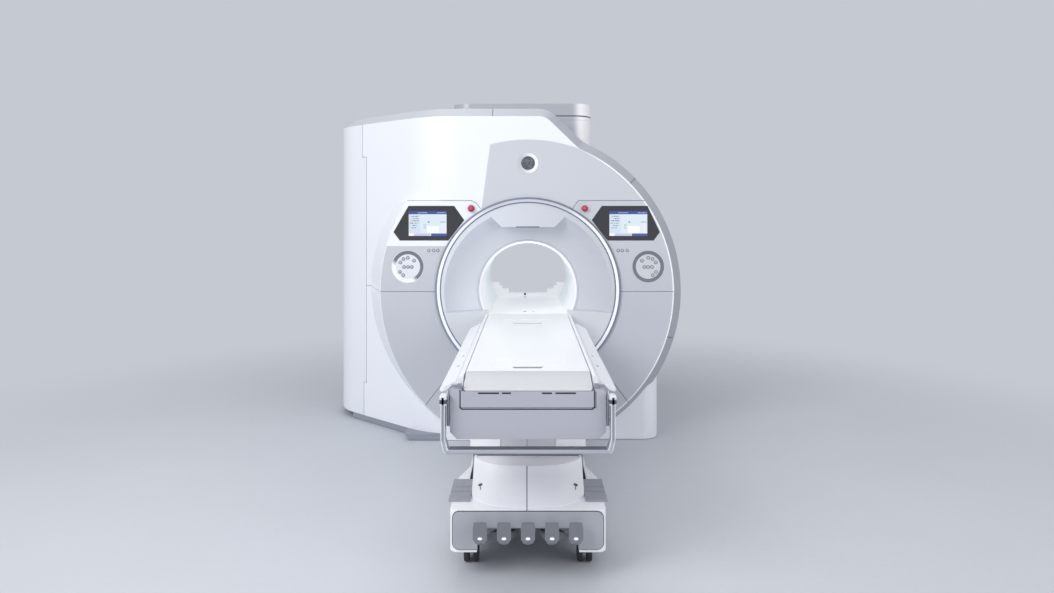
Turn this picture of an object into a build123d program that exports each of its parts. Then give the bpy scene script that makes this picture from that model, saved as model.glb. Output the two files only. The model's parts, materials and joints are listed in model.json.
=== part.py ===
from build123d import *
import os
from math import cos, radians, sin, sqrt, tan

os.makedirs("parts", exist_ok=True)

# All lengths in mm. X to the right seen from the patient table, +Y into the bore, +Z up.
# The origin is on the floor under the centre of the magnet.

# Clearances
NEAR = 0.25             # gap between neighbouring covers that only touch
FIT = 0.2               # gap round a part that is slid in
RUN = 0.05              # running clearance on a shaft, radial
SEAM = 3.0              # width of a visible joint
FAR = 3000.0            # beyond everything, for cutting blocks

# Magnet
ISO_Z = 1070.0          # height of the bore axis
BORE_R = 350.0          # free radius of the bore
TUBE_WALL = 8.0
COIL_WALL = 91.8
COIL_R = BORE_R + TUBE_WALL + FIT + COIL_WALL
MAGNET_HALF = 730.0     # half length of the cryostat
MAGNET_R = 930.0
BOLT_X = 450.0          # floor anchors, from the centre
BOLT_Y = MAGNET_HALF - 110
BOLT_HOLE_R = 11.0
FOOT_HALF = 120.0
FOOT_THICK = 25.0

# Enclosure
END_DEPTH = 206.0       # from the end of the magnet to the front or rear cover
FRONT_Y = -(MAGNET_HALF + END_DEPTH)
REAR_Y = MAGNET_HALF + END_DEPTH
SKIN = 8.0              # wall of every cover
EDGE = 62.0             # bevel round the front and the rear of the enclosure
SIDE_ROOM = 251.0       # between the magnet and the round side
RIGHT_C = (-66.0, ISO_Z + 7)
RIGHT_R = MAGNET_R + SIDE_ROOM
ROOF_RISE = 147.0       # of the flat roof over the round side's own top
ROOF_Z = RIGHT_C[1] + RIGHT_R + ROOF_RISE
ROOF_END_X = 148.6      # where the roof starts to slope down to the right
ROOF_SLOPE = 0.9605
ROOF_SPLIT_X = -255.5
WALL_TOP = ROOF_Z - EDGE
LEFT_ROOM = 619.0       # beside the magnet on the left, for the services
LEFT_X = -(MAGNET_R + LEFT_ROOM)
SLANT = 40.0            # the left wall slants back by this angle in plan
SLANT_X = LEFT_X + 841  # where its line meets the front
SLANT_FRONT_R = 626.0   # corners before and behind the slanting wall
SLANT_SIDE_R = 430.0
REAR_LEFT_R = 430.0
SIDE_RUNS = (254.0, 278.0, 240.0)   # of the stepped side joint, from the left side
SIDE_STEPS = (312.0, 2086.0)
REAR_SEAM_X = LEFT_X + REAR_LEFT_R
DISC_C = (136.0, ISO_Z + 11)
DISC_R = RIGHT_R + 22   # left edge of the raised front disc
DISC_DEPTH = 445.0
DISC_SLOPE = 0.366      # how far the disc's flank runs out, for its depth
DISC_FROM_X = SLANT_X + SLANT_FRONT_R * tan(radians(SLANT / 2)) - 6
SEAM_Z = RIGHT_C[1]
SIDE_SEAMS = (-88.0, -48.0, -17.0, 44.1)    # angles of the joints on the round side
CHIN_TOP_Z = ISO_Z + 134    # where the two slanting joints would meet
CHIN_RUN = 0.78
FLOOR_GAP = 4.0
SKIRT_TOP = 50.0
SKIRT_END_X = SLANT_X + 81
PLINTH_X = RIGHT_C[0] + RIGHT_R - 160
PLINTH_R = 125.0
PLINTH_Y = REAR_Y - 35
TURRET_C = (-47.0, 5.0)
TURRET_SIZE = (1106.0, 890.0)
TURRET_R = 150.0
TURRET_TOP = ROOF_Z + 105
TURRET_SEAM = ROOF_Z - 25

# Ring of light
RING_Z = ISO_Z + 18
RING_R = 669.0
RING_IN = RING_R - 41
LIGHT_IN = RING_R - 33
LIGHT_OUT = RING_R - 13
RING_PROUD = 12.0
LIGHT_DEEP = 10.0

# Mouth of the bore
MOUTH_R = RING_IN - 23
MOUTH_BACK = MAGNET_HALF + 12
LIP_WIDE = 26.0
LIP_LONG = 29.0
LIP_R = BORE_R + LIP_WIDE
LIP_Y = MAGNET_HALF + 35
MOUTH_SAG = 29.0        # how far the funnel bulges from a straight cone
MOUTH_STEPS = 4

# Patient table, upper part
CRADLE_HALF = 279.0
CRADLE_TOP = ISO_Z - 145
CRADLE_THICK = 50.0
CRADLE_BOTTOM = CRADLE_TOP - CRADLE_THICK
TABLE_LONG = 2085.0
DOCK_GAP = 29.0         # between the docked table and the front cover
HEAD_Y = FRONT_Y - DOCK_GAP
FOOT_Y = HEAD_Y - TABLE_LONG
CAP_LONG = 100.0
RAIL_IN = CRADLE_HALF + 5.5
RAIL_OUT = RAIL_IN + 24.5
RAIL_TOP = CRADLE_TOP - 5
RAIL_WALL = 12.0
FRAME_BOTTOM = CRADLE_BOTTOM - 185
CAP_HALF = RAIL_OUT + 24
CAP_BOTTOM = FRAME_BOTTOM - 18
CAP_TOP = CRADLE_BOTTOM + 11
HANDLE_HALF = CAP_HALF + 37
HANDLE_BAR = 20.0
HANDLE_DEEP = 26.0      # half depth of the handle's bar
HANDLE_PIVOT = (FOOT_Y - 12.5, CRADLE_BOTTOM - 23)
HANDLE_LOW = HANDLE_PIVOT[1] - 233
HANDLE_PIN_R = 5.0
BOARD_PIVOT_X = RAIL_OUT + 5.2
BOARD_PIVOT_Z = CRADLE_TOP - 45
BOARD_SLOPE = 24.0
BOARD_WIDE = 85.0
BARREL_R = 4.9
BOARD_ENDS = ((FOOT_Y + 120, FOOT_Y + 808), (FOOT_Y + 818, HEAD_Y - 255))

# Gap in the mouth for the cradle, and the bridge behind it
SLOT_HALF = CRADLE_HALF + 13
APRON_Z = CRADLE_BOTTOM - 4
APRON_THICK = 31.0
SHELF_Z = CRADLE_TOP
STEP_LONG = 115.0       # stepped far end of the bridge
STEPS = ((400.0, -72.0), (270.0, -105.0), (243.0, -132.0), (182.0, -171.0))

# Patient table, lower part
BASE_HALF = 350.0
BASE_FRONT = FOOT_Y + 135
BASE_LONG = 1470.0
BASE_BOTTOM = 125.0
BASE_TOP = 312.0
CHASSIS = 20.0
CHASSIS_TOP = BASE_BOTTOM + NEAR + CHASSIS
SLEEVE_HALF = 286.0
SLEEVE_Y = (FOOT_Y + 500, FOOT_Y + 930)
SLEEVE_GAP = 4.0        # round the sleeve, inside the well of the base and round the column
SLEEVE_BOTTOM = 450.0
COLUMN_TOP = SLEEVE_BOTTOM + 100
GLIDE = 60.0            # height of the collar that the sleeve runs on
HUMP_TOP = 440.0
HUMP_HALF = 264.0
RECESS_HALF = 228.0     # opening for the pedals in the front of the base
PEDAL_SHAFT = (BASE_FRONT + 115, BASE_BOTTOM + 110)
PEDAL_SHAFT_R = 6.0
PEDAL_PITCH = 105.0
PEDAL_SPREAD = 0.37     # the arms run inwards to the shaft by this much
PEDAL_OUT = 70.0        # how far the pedals stand out of the base
PEDAL_THICK = 12.0
WHEEL_R = 50.0
WHEEL_WIDE = 23.0
WHEEL_TRAIL = 25.0
FORK_HALF = 10.0
AXLE_R = 5.0
STEM_R = 8.0
CASTER_X = 265.0
CASTERS = [(x, y) for y in (BASE_FRONT + 165, BASE_FRONT + BASE_LONG - 155) for x in (-CASTER_X, CASTER_X)]


def ring_x(z, gap):
    # half width of the ring of light, widened by gap, at height z
    return sqrt((RING_R + gap) ** 2 - (z - RING_Z) ** 2)


def rim_x(z, gap):
    # right edge of the flat front, less gap, at height z
    return RIGHT_C[0] + sqrt((RIGHT_R - EDGE) ** 2 - (z - RIGHT_C[1]) ** 2) - gap


# Controls, given for the left side and mirrored
PANEL_TOP = ISO_Z + 660
BEZEL_TOP = PANEL_TOP - 35
BEZEL_LOW = PANEL_TOP - 285
BEZEL_MID = PANEL_TOP - 138
TIP_Z = PANEL_TOP - 224
BEZEL_TIP = {-1: rim_x(TIP_Z, -2), 1: rim_x(TIP_Z, 17)}    # outer point, left and right
SCREEN = (-rim_x(TIP_Z, 107), -rim_x(TIP_Z, 381), BEZEL_LOW + 33, BEZEL_TOP - 38)
DIAL_Z = ISO_Z + 187
DIAL = (-(RING_R + rim_x(ISO_Z, 0)) / 2 - 6, DIAL_Z, 119.0, 87.0)
DIAL_DEEP = 5.0
KEYS_AT = (-ring_x(ISO_Z + 302, 71) - 2, ISO_Z + 302)
KEYS_HALF = (55.0, 20.0)
STOP_Z = PANEL_TOP - 54
STOP = (-ring_x(STOP_Z, 47), STOP_Z)
STOP_HEAD_R = 22.0
STOP_HEAD = 12.0
STOP_STEM = 18.0        # side of the square stem
STOP_TRAVEL = 8.0
BADGE = (0.0, ISO_Z + 934, 74.0)
GROOVE = 2.5            # depth of a drawn line in the front cover


def block(x0, x1, y0, y1, z0, z1):
    return Pos((x0 + x1) / 2, (y0 + y1) / 2, (z0 + z1) / 2) * Box(x1 - x0, y1 - y0, z1 - z0)


def rod_x(r, x0, x1, y, z):
    return Pos((x0 + x1) / 2, y, z) * Rot(0, 90, 0) * Cylinder(r, x1 - x0)


def rod_y(r, y0, y1, x, z):
    return Pos(x, (y0 + y1) / 2, z) * Rot(90, 0, 0) * Cylinder(r, y1 - y0)


def rod_z(r, z0, z1, x, y):
    return Pos(x, y, (z0 + z1) / 2) * Cylinder(r, z1 - z0)


def outline(points):
    return make_face(Polyline(*points, close=True))


def front_prism(face, y0, y1):
    # face is drawn as (x, z)
    return extrude(Plane.XZ.offset(-y1) * face, amount=y1 - y0, dir=(0, -1, 0))


def side_prism(face, x0, x1):
    # face is drawn as (y, z)
    return extrude(Plane.YZ.offset(x0) * face, amount=x1 - x0, dir=(1, 0, 0))


def plan_prism(face, z0, z1):
    return extrude(Plane.XY.offset(z0) * face, amount=z1 - z0, dir=(0, 0, 1))


def turned_y(points, z):
    # points are (radius, y), turned round a line along Y at height z
    profile = outline([(r, y) for r, y in points])
    return Pos(0, 0, z) * revolve(profile, Axis.Y, 360)


def mirror_x(shape):
    return mirror(shape, about=Plane.YZ)


def corner(face, x, y):
    # vertex of a flat drawing that is nearest to a place
    return face.vertices().sort_by_distance((x, y, 0))[0]


def save(name, shape):
    export_step(shape, "parts/" + name + ".step")


# Outlines that several covers share

def enclosure_outline():
    left = LEFT_X - 151
    fall = 311.0
    end = (ROOF_END_X + fall, ROOF_Z - ROOF_SLOPE * fall)
    shape = outline([(left, -200), (left, ROOF_Z), (ROOF_END_X, ROOF_Z), end, (end[0], -200)])
    shape = shape + Pos(*RIGHT_C) * Circle(RIGHT_R)
    shape = fillet(corner(shape, ROOF_END_X, ROOF_Z), 187)
    return fillet(corner(shape, end[0] - 58, end[1] + 56), 100)


def plan_outline():
    turn = FRONT_Y + (SLANT_X - LEFT_X) * tan(radians(SLANT))
    shape = outline([(LEFT_X, turn), (SLANT_X, FRONT_Y), (FAR, FRONT_Y), (FAR, REAR_Y), (LEFT_X, REAR_Y)])
    shape = fillet(corner(shape, SLANT_X, FRONT_Y), SLANT_FRONT_R)
    shape = fillet(corner(shape, LEFT_X, turn), SLANT_SIDE_R)
    return fillet(corner(shape, LEFT_X, REAR_Y), REAR_LEFT_R)


def sector(a0, a1, r=2 * FAR):
    cx, cz = RIGHT_C
    mid = (a0 + a1) / 2
    pts = [(cx, cz)]
    for a in (a0, mid, a1):
        pts.append((cx + r * cos(radians(a)), cz + r * sin(radians(a))))
    return outline(pts)


OUTER = enclosure_outline()
PLAN = plan_outline()


def bevelled_body(inset):
    # the whole enclosure seen from the front, bevelled at both ends
    face = offset(OUTER, amount=-inset) if inset else OUTER
    body = front_prism(face, FRONT_Y + inset, REAR_Y - inset)
    ends = body.edges().filter_by(Plane.XZ)
    cut = EDGE - inset * (2 - sqrt(2))
    return chamfer(ends, cut)


def bevelled_roof(inset):
    face = offset(PLAN, amount=-inset) if inset else PLAN
    top = ROOF_Z - inset
    body = plan_prism(face, WALL_TOP - 93, top)
    rim = body.edges().group_by(Axis.Z)[-1]
    return chamfer(rim, EDGE - inset * (2 - sqrt(2)))


FRONT = offset(OUTER, amount=-EDGE)
FRONT_NEAR = offset(OUTER, amount=NEAR - EDGE)
SHROUD = bevelled_body(0) - bevelled_body(SKIN)
SHROUD = SHROUD - front_prism(FRONT_NEAR, FRONT_Y - 5, FRONT_Y + 16)
SHROUD = SHROUD - front_prism(FRONT_NEAR, REAR_Y - 16, REAR_Y + 5)
SHROUD = SHROUD & block(-FAR, FAR, -FAR, FAR, FLOOR_GAP, ROOF_Z + 5)
WALL_SOLID = plan_prism(PLAN, FLOOR_GAP, WALL_TOP)
WALL = WALL_SOLID - plan_prism(offset(PLAN, amount=-SKIN), 0, ROOF_Z)
CHIN = outline([(0, CHIN_TOP_Z), (-CHIN_RUN * CHIN_TOP_Z, 0), (CHIN_RUN * CHIN_TOP_Z, 0)])


# Magnet

def magnet_cryostat():
    body = rod_y(MAGNET_R, -MAGNET_HALF, MAGNET_HALF, 0, ISO_Z)
    for side in (-1, 1):
        x = side * BOLT_X
        long = BOLT_Y + 60
        body = body + block(x - FOOT_HALF, x + FOOT_HALF, -long, long, 0, FOOT_THICK)
        leg = FOOT_HALF - 50
        body = body + block(x - leg, x + leg, -BOLT_Y + 60, BOLT_Y - 60, FOOT_THICK, ISO_Z - 0.7 * MAGNET_R)
    # service neck on top, under the turret
    body = body + block(TURRET_C[0] - 130, TURRET_C[0] + 130, -130, 130, ISO_Z + 0.9 * MAGNET_R, ROOF_Z - 75)
    body = body - rod_y(COIL_R + FIT, -FAR, FAR, 0, ISO_Z)
    for x in (-BOLT_X, BOLT_X):
        for y in (-BOLT_Y, BOLT_Y):
            body = body - rod_z(BOLT_HOLE_R, -5, FOOT_THICK + 5, x, y)
    return body


def gradient_coil():
    tube_out = BORE_R + TUBE_WALL
    return (rod_y(COIL_R, -MAGNET_HALF, MAGNET_HALF, 0, ISO_Z)
            - rod_y(tube_out + FIT, -FAR, FAR, 0, ISO_Z))


def bore_tube():
    half = LIP_Y - LIP_LONG - FIT
    return (rod_y(BORE_R + TUBE_WALL, -half, half, 0, ISO_Z)
            - rod_y(BORE_R, -FAR, FAR, 0, ISO_Z))


def patient_bridge():
    # deck on two ribs, cut to the round of the bore
    back = LIP_Y - LIP_LONG - FIT
    deck = block(-BORE_R, BORE_R, -LIP_Y, back, APRON_Z - 14, APRON_Z)
    for x in (-150, 150):
        deck = deck + block(x - SKIN, x + SKIN, -LIP_Y, back, ISO_Z - BORE_R, APRON_Z - 14)
    return deck & rod_y(BORE_R - FIT, -FAR, FAR, 0, ISO_Z)


def bridge_end():
    # far end of the bridge, which rises in steps towards both sides
    back = LIP_Y - LIP_LONG - FIT
    front = back - STEP_LONG
    wide, top = STEPS[0]
    end = block(-wide, wide, front, back, APRON_Z + FIT, ISO_Z + top)
    for half, level in STEPS[1:]:
        end = end - block(-half, half, front - 5, back + 5, ISO_Z + level, ISO_Z)
    return end & rod_y(BORE_R - FIT, -FAR, FAR, 0, ISO_Z)


def bridge_apron():
    half = SLOT_HALF - NEAR
    return block(-half, half, FRONT_Y + 1, -LIP_Y - NEAR, APRON_Z - APRON_THICK + NEAR, APRON_Z)


# Mouth of the bore

def mouth_cut():
    # from the front edge to the lip, bulging outwards from a straight cone
    lip = LIP_R + NEAR
    points = [(0, FRONT_Y - 9), (MOUTH_R, FRONT_Y - 9)]
    for step in range(MOUTH_STEPS + 1):
        t = step / MOUTH_STEPS
        sag = 4 * MOUTH_SAG * t * (1 - t)
        r = MOUTH_R + t * (lip - MOUTH_R) + sag
        points.append((r, FRONT_Y - t * (LIP_Y + FRONT_Y) + 0.3 * sag))
    points = points + [(lip, -MOUTH_BACK + 2), (0, -MOUTH_BACK + 2)]
    return turned_y(points, ISO_Z)


def bore_surround():
    # funnel above the shelf, with the hood over the bore
    body = rod_y(RING_IN - NEAR, FRONT_Y, -MOUTH_BACK, 0, RING_Z)
    body = body & block(-FAR, FAR, -FAR, 0, SHELF_Z + NEAR, ROOF_Z)
    low = RING_Z + RING_R - 215
    hood = front_prism(outline([(-262, low + 66), (-191, low), (191, low), (262, low + 66),
                                (262, low + 358), (-262, low + 358)]), FRONT_Y, -MOUTH_BACK)
    hood = hood - block(-84, 84, FRONT_Y + 12, FRONT_Y + 42, low - 7, low + 7)
    return body - (mouth_cut() - hood)


def bore_shelf():
    # two side panels under the funnel, and one below the slot for the cradle
    disc = rod_y(RING_IN - NEAR, FRONT_Y, -LIP_Y - NEAR, 0, RING_Z)
    side = disc & block(SLOT_HALF, FAR, -FAR, 0, 0, SHELF_Z)
    inner = SLOT_HALF - FIT
    lower = disc & block(-inner, inner, -FAR, 0, 0, APRON_Z - APRON_THICK)
    return Compound(children=[side, mirror_x(side), lower])


def bore_lip():
    y = LIP_Y
    return turned_y([(BORE_R, -y + 9), (BORE_R + 9, -y), (LIP_R, -y), (LIP_R, -y + LIP_LONG),
                     (BORE_R, -y + LIP_LONG)], ISO_Z)


def halo_bezel():
    # flat ring with a proud outer edge
    y, inner = FRONT_Y, LIGHT_OUT + NEAR
    return turned_y([(RING_IN, y), (inner, y), (inner, y - RING_PROUD), (RING_R, y - RING_PROUD),
                     (RING_R, y + RING_PROUD), (RING_IN, y + RING_PROUD)], RING_Z)


def halo_light():
    y = FRONT_Y
    return turned_y([(LIGHT_IN, y), (LIGHT_IN, y - LIGHT_DEEP), (LIGHT_OUT, y - LIGHT_DEEP),
                     (LIGHT_OUT, y)], RING_Z)


# Front covers

def disc_cone(wall, front):
    # the disc with its flank, smaller by a wall and starting behind the front
    long = DISC_DEPTH - front
    small = DISC_R + DISC_SLOPE * front - wall
    return (Pos(DISC_C[0], FRONT_Y + front + long / 2, DISC_C[1]) * Rot(90, 0, 0)
            * Cone(small + DISC_SLOPE * long, small, long))


def disc_step(z0, z1, roof):
    # the raised disc where the left wall slants away behind it, with a roof of its own at the top
    hollow = disc_cone(SKIN, SKIN) & block(-FAR, FAR, -FAR, 0, 0, z1 - roof)
    keep = block(-FAR, DISC_FROM_X, FRONT_Y, FRONT_Y + DISC_DEPTH, z0, z1)
    return ((disc_cone(0, 0) - hollow) & keep) - WALL_SOLID


def side_joint(grow):
    # everything on the left of the side joint, which steps twice
    low, mid, high = (LEFT_X + run for run in SIDE_RUNS)
    z0, z1 = SIDE_STEPS
    face = outline([(-FAR, -FAR), (low, -FAR), (low, z0), (mid, z0), (mid, z1), (high, z1),
                    (high, FAR), (-FAR, FAR)])
    return front_prism(offset(face, amount=grow, kind=Kind.INTERSECTION), -FAR, 0)


def front_wall(z0, z1):
    wall = WALL & block(LEFT_X, FAR, -FAR, -MAGNET_HALF / 4, z0, z1)
    return (wall & front_prism(FRONT, -FAR, -MAGNET_HALF / 4)) - side_joint(SEAM / 2)


def ring_hole():
    return rod_y(RING_R + NEAR, -FAR, -MAGNET_HALF, 0, RING_Z)


def bezel_face(side):
    tip = BEZEL_TIP[side]
    top = rim_x(BEZEL_TOP, 5)
    return outline([(-top, BEZEL_TOP), (-ring_x(BEZEL_MID, 13) - 73, BEZEL_TOP),
                    (-ring_x(BEZEL_MID, 13), BEZEL_MID), (-ring_x(BEZEL_LOW, 7), BEZEL_LOW),
                    (45 - tip, BEZEL_LOW), (-tip, TIP_Z)])


def control_pockets(side):
    x, z, r, pad = DIAL
    hole = STOP_STEM + 2 * FIT
    y0, y1 = FRONT_Y - 5, FRONT_Y + SKIN
    cut = front_prism(offset(bezel_face(side), amount=NEAR, kind=Kind.INTERSECTION), y0, y1)
    cut = cut + rod_y(r, y0, y1, x, z)
    kx, kz = KEYS_AT
    wide, high = KEYS_HALF
    cut = cut + block(kx - wide, kx + wide, y0, y1, kz - high, kz + high)
    cut = cut + front_prism(Pos(*STOP) * Rectangle(hole, hole), y0, y1)
    # joint over the controls, which drops to the ring at its inner end
    groove = block(STOP[0] - 152, STOP[0] - 3, FRONT_Y - 1, FRONT_Y + GROOVE,
                   PANEL_TOP - SEAM / 2, PANEL_TOP + SEAM / 2)
    slant = Pos(STOP[0] + 34.5, FRONT_Y, PANEL_TOP - 25) * Rot(0, 34.5, 0) * Box(92, 2 * GROOVE, SEAM)
    return cut + groove + slant


def front_cover_upper():
    body = front_wall(SEAM_Z + SEAM / 2, ROOF_Z)
    body = body + disc_step(SEAM_Z + SEAM / 2, PANEL_TOP, SKIN)
    body = body - ring_hole()
    body = body - control_pockets(-1) - mirror_x(control_pockets(1))
    body = body - block(-STOP[0] + 152, rim_x(PANEL_TOP, 0), FRONT_Y - 1, FRONT_Y + GROOVE,
                        PANEL_TOP - SEAM / 2, PANEL_TOP + SEAM / 2)
    x, z, r = BADGE
    return body - rod_y(r, FRONT_Y - 5, FRONT_Y + SEAM, x, z)


def chin_face(grow):
    # part of the disc between the slanting joints
    face = offset(CHIN, amount=grow, kind=Kind.INTERSECTION) if grow else CHIN
    disc = Pos(*DISC_C) * Circle(DISC_R) & Pos(*RIGHT_C) * Circle(RIGHT_R - EDGE)
    disc = offset(disc, amount=grow) if grow else disc
    return face & disc


def front_cover_left():
    body = front_wall(FLOOR_GAP, SEAM_Z - SEAM / 2) + disc_step(FLOOR_GAP, SEAM_Z - SEAM / 2, -5)
    body = body & block(-FAR, 0, -FAR, 0, 0, ROOF_Z)
    body = body - ring_hole() - block(-FAR, SKIRT_END_X, -FAR, 0, 0, SKIRT_TOP)
    return body - front_prism(chin_face(SEAM), -FAR, FRONT_Y + SKIN + SEAM)


def front_cover_right():
    body = front_wall(FLOOR_GAP, SEAM_Z - SEAM / 2) & block(0, FAR, -FAR, 0, 0, ROOF_Z)
    return body - ring_hole() - front_prism(offset(CHIN, amount=SEAM, kind=Kind.INTERSECTION), -FAR, 0)


def front_cover_chin():
    body = front_prism(chin_face(0), FRONT_Y, FRONT_Y + SKIN) - ring_hole()
    return body & block(-FAR, FAR, -FAR, 0, FLOOR_GAP, ROOF_Z)


# Side, roof and turret

def left_part(z0, z1):
    # the left of the enclosure, between its front and rear joints
    return ((side_joint(-SEAM / 2) & block(-FAR, FAR, -FAR, 0, z0, z1))
            + block(-FAR, REAR_SEAM_X - SEAM, 0, FAR, z0, z1))


def side_cover_left():
    return WALL & left_part(SKIRT_TOP, WALL_TOP - NEAR)


def floor_skirt_left():
    # recessed band, set in further along the side, and a straight kick box in front of its end
    top = SKIRT_TOP + 35
    room = block(LEFT_X + 145, FAR, -FAR, FAR, 0, ROOF_Z)
    inner = block(LEFT_X + 145 + SKIN, FAR, -FAR, FAR, 0, ROOF_Z)
    skirt = plan_prism(offset(PLAN, amount=-SKIN - FIT), FLOOR_GAP, top) & room
    x0, x1 = SKIRT_END_X - 265, SKIRT_END_X - NEAR
    kick = outline([(x0, SKIRT_TOP - NEAR), (x1, SKIRT_TOP - NEAR), (x1, FLOOR_GAP), (x0 + 30, FLOOR_GAP)])
    skirt = skirt + front_prism(kick, FRONT_Y + 10, FRONT_Y + 150)
    skirt = skirt - (plan_prism(offset(PLAN, amount=-2 * SKIN - FIT), 0, ROOF_Z) & inner)
    return skirt & (left_part(0, top) + block(-FAR, SKIRT_END_X - NEAR, -FAR, 0, 0, top))


def roof_cover_left():
    roof = bevelled_roof(0) - bevelled_roof(SKIN)
    return roof & block(-FAR, ROOF_SPLIT_X - SEAM / 2, -FAR, FAR, WALL_TOP, ROOF_Z + 5)


def roof_cover_right():
    part = SHROUD & block(ROOF_SPLIT_X + SEAM / 2, FAR, -FAR, FAR, SEAM_Z, ROOF_Z + 5)
    return part - front_prism(sector(-20, SIDE_SEAMS[3]), -FAR, FAR)


def shroud_part(a0, a1):
    # the named angles are the joints, with a little room between the neighbours
    return SHROUD & front_prism(sector(a0 + 0.075, a1 - 0.075), -FAR, FAR)


def side_cover_right():
    return shroud_part(SIDE_SEAMS[2], SIDE_SEAMS[3])


def side_cover_lower():
    # below the second joint only the bevelled ends go on, round the feet
    ends = (block(-FAR, FAR, -FAR, FRONT_Y + 76, 0, ROOF_Z)
            + block(-FAR, FAR, REAR_Y - 76, FAR, 0, ROOF_Z))
    low = SHROUD & front_prism(sector(SIDE_SEAMS[0], SIDE_SEAMS[1]), -FAR, FAR)
    side = SHROUD & front_prism(sector(SIDE_SEAMS[1], SIDE_SEAMS[2] - 0.075), -FAR, FAR)
    return side + (low & ends)


def plinth_right():
    def shell(inset):
        x, y = PLINTH_X - inset, PLINTH_Y - inset
        face = outline([(100, -y), (x, -y), (x, y), (100, y)])
        face = fillet([corner(face, x, -y), corner(face, x, y)], PLINTH_R - inset)
        return plan_prism(face, FLOOR_GAP, ISO_Z)
    inside = block(90, 120, -PLINTH_Y + 21, PLINTH_Y - 21, 0, ISO_Z)
    near = front_prism(offset(OUTER, amount=NEAR), FRONT_Y + 76, REAR_Y - 76)
    return shell(0) - shell(SKIN) - inside - bevelled_body(0) - near


def turret_shell(z0, z1, roof):
    wide, long = TURRET_SIZE
    place = Pos(*TURRET_C)
    body = plan_prism(place * RectangleRounded(wide, long, TURRET_R), z0, z1)
    hollow = RectangleRounded(wide - 2 * SKIN, long - 2 * SKIN, TURRET_R - SKIN)
    body = body - plan_prism(place * hollow, z0 - 5, z1 - roof)
    return body - front_prism(offset(OUTER, amount=NEAR), -MAGNET_HALF, MAGNET_HALF)


def turret_cover():
    return turret_shell(TURRET_SEAM - 480, TURRET_SEAM - SEAM / 2, -5)


def turret_cap():
    return turret_shell(TURRET_SEAM - SEAM / 2 + NEAR, TURRET_TOP, SKIN)


# Rear

def rear_cover():
    # flat cover and the funnel that leads to the rear end of the bore
    plate = front_prism(FRONT, REAR_Y - SKIN, REAR_Y)
    plate = plate & block(REAR_SEAM_X + SEAM, FAR, 0, FAR, FLOOR_GAP, WALL_TOP - NEAR)
    edge = RING_IN - SKIN
    throat = LIP_Y - LIP_LONG
    funnel = turned_y([(BORE_R + TUBE_WALL + FIT, throat), (LIP_R + SKIN, throat),
                       (RING_IN, REAR_Y), (edge, REAR_Y),
                       (LIP_R, throat + SKIN), (BORE_R + TUBE_WALL + FIT, throat + SKIN)], ISO_Z)
    return plate - rod_y(edge, 0, FAR, 0, ISO_Z) + funnel


# Controls

def display(side):
    x0, x1, z0, z1 = SCREEN
    body = front_prism(bezel_face(side), FRONT_Y - 1, FRONT_Y + SKIN)
    return body - block(x0, x1, FRONT_Y - 5, FRONT_Y + 0.5, z0, z1)


def dial():
    # a cone that leads down to a flat pad
    x, z, r, pad = DIAL
    y = FRONT_Y
    profile = outline([(0, y + DIAL_DEEP), (pad, y + DIAL_DEEP), (r - NEAR, y),
                       (r - NEAR, y + SKIN), (0, y + SKIN)])
    return Pos(x, 0, z) * revolve(profile, Axis.Y, 360)


def keypad():
    x, z = KEYS_AT
    wide, high = KEYS_HALF
    return block(x - wide + NEAR, x + wide - NEAR, FRONT_Y + 0.4, FRONT_Y + SKIN,
                 z - high + NEAR, z + high - NEAR)


def emergency_button():
    x, z = STOP
    back = FRONT_Y - STOP_TRAVEL - 1
    stem = front_prism(Pos(x, z) * Rectangle(STOP_STEM, STOP_STEM), back - 2, FRONT_Y + 20)
    return rod_y(STOP_HEAD_R, back - STOP_HEAD, back, x, z) + stem


# Patient table, upper part

def cradle():
    foot = FOOT_Y + 5
    slope_end = FOOT_Y + 175
    side = outline([(foot, CRADLE_BOTTOM), (HEAD_Y, CRADLE_BOTTOM),
                    (HEAD_Y, CRADLE_TOP - 12), (HEAD_Y - 20, CRADLE_TOP),
                    (slope_end, CRADLE_TOP), (foot, CRADLE_BOTTOM + 7)])
    body = side_prism(side, -CRADLE_HALF, CRADLE_HALF)
    low = body.edges().filter_by(Axis.Y).group_by(Axis.Z)[0]
    body = chamfer(low, 12)
    top = CRADLE_TOP + 5
    # notch at the head, two long slots and a shallow tray, and the grip at the foot
    body = body - block(-137, 137, HEAD_Y - 36, HEAD_Y + 5, CRADLE_TOP - 20, top)
    body = body - block(-171, 168, slope_end + 202, slope_end + 214, CRADLE_TOP - 6, top)
    body = body - block(-158, 158, HEAD_Y - 335, HEAD_Y - 311, CRADLE_TOP - 5, top)
    body = body - block(-98, 90, HEAD_Y - 490, HEAD_Y - 428, CRADLE_TOP - 5, top)
    grip = outline([(-79, slope_end + 110), (76, slope_end + 110), (60, slope_end + 60),
                    (-63, slope_end + 60)])
    return body - plan_prism(grip, CRADLE_TOP - 14, top)


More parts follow.
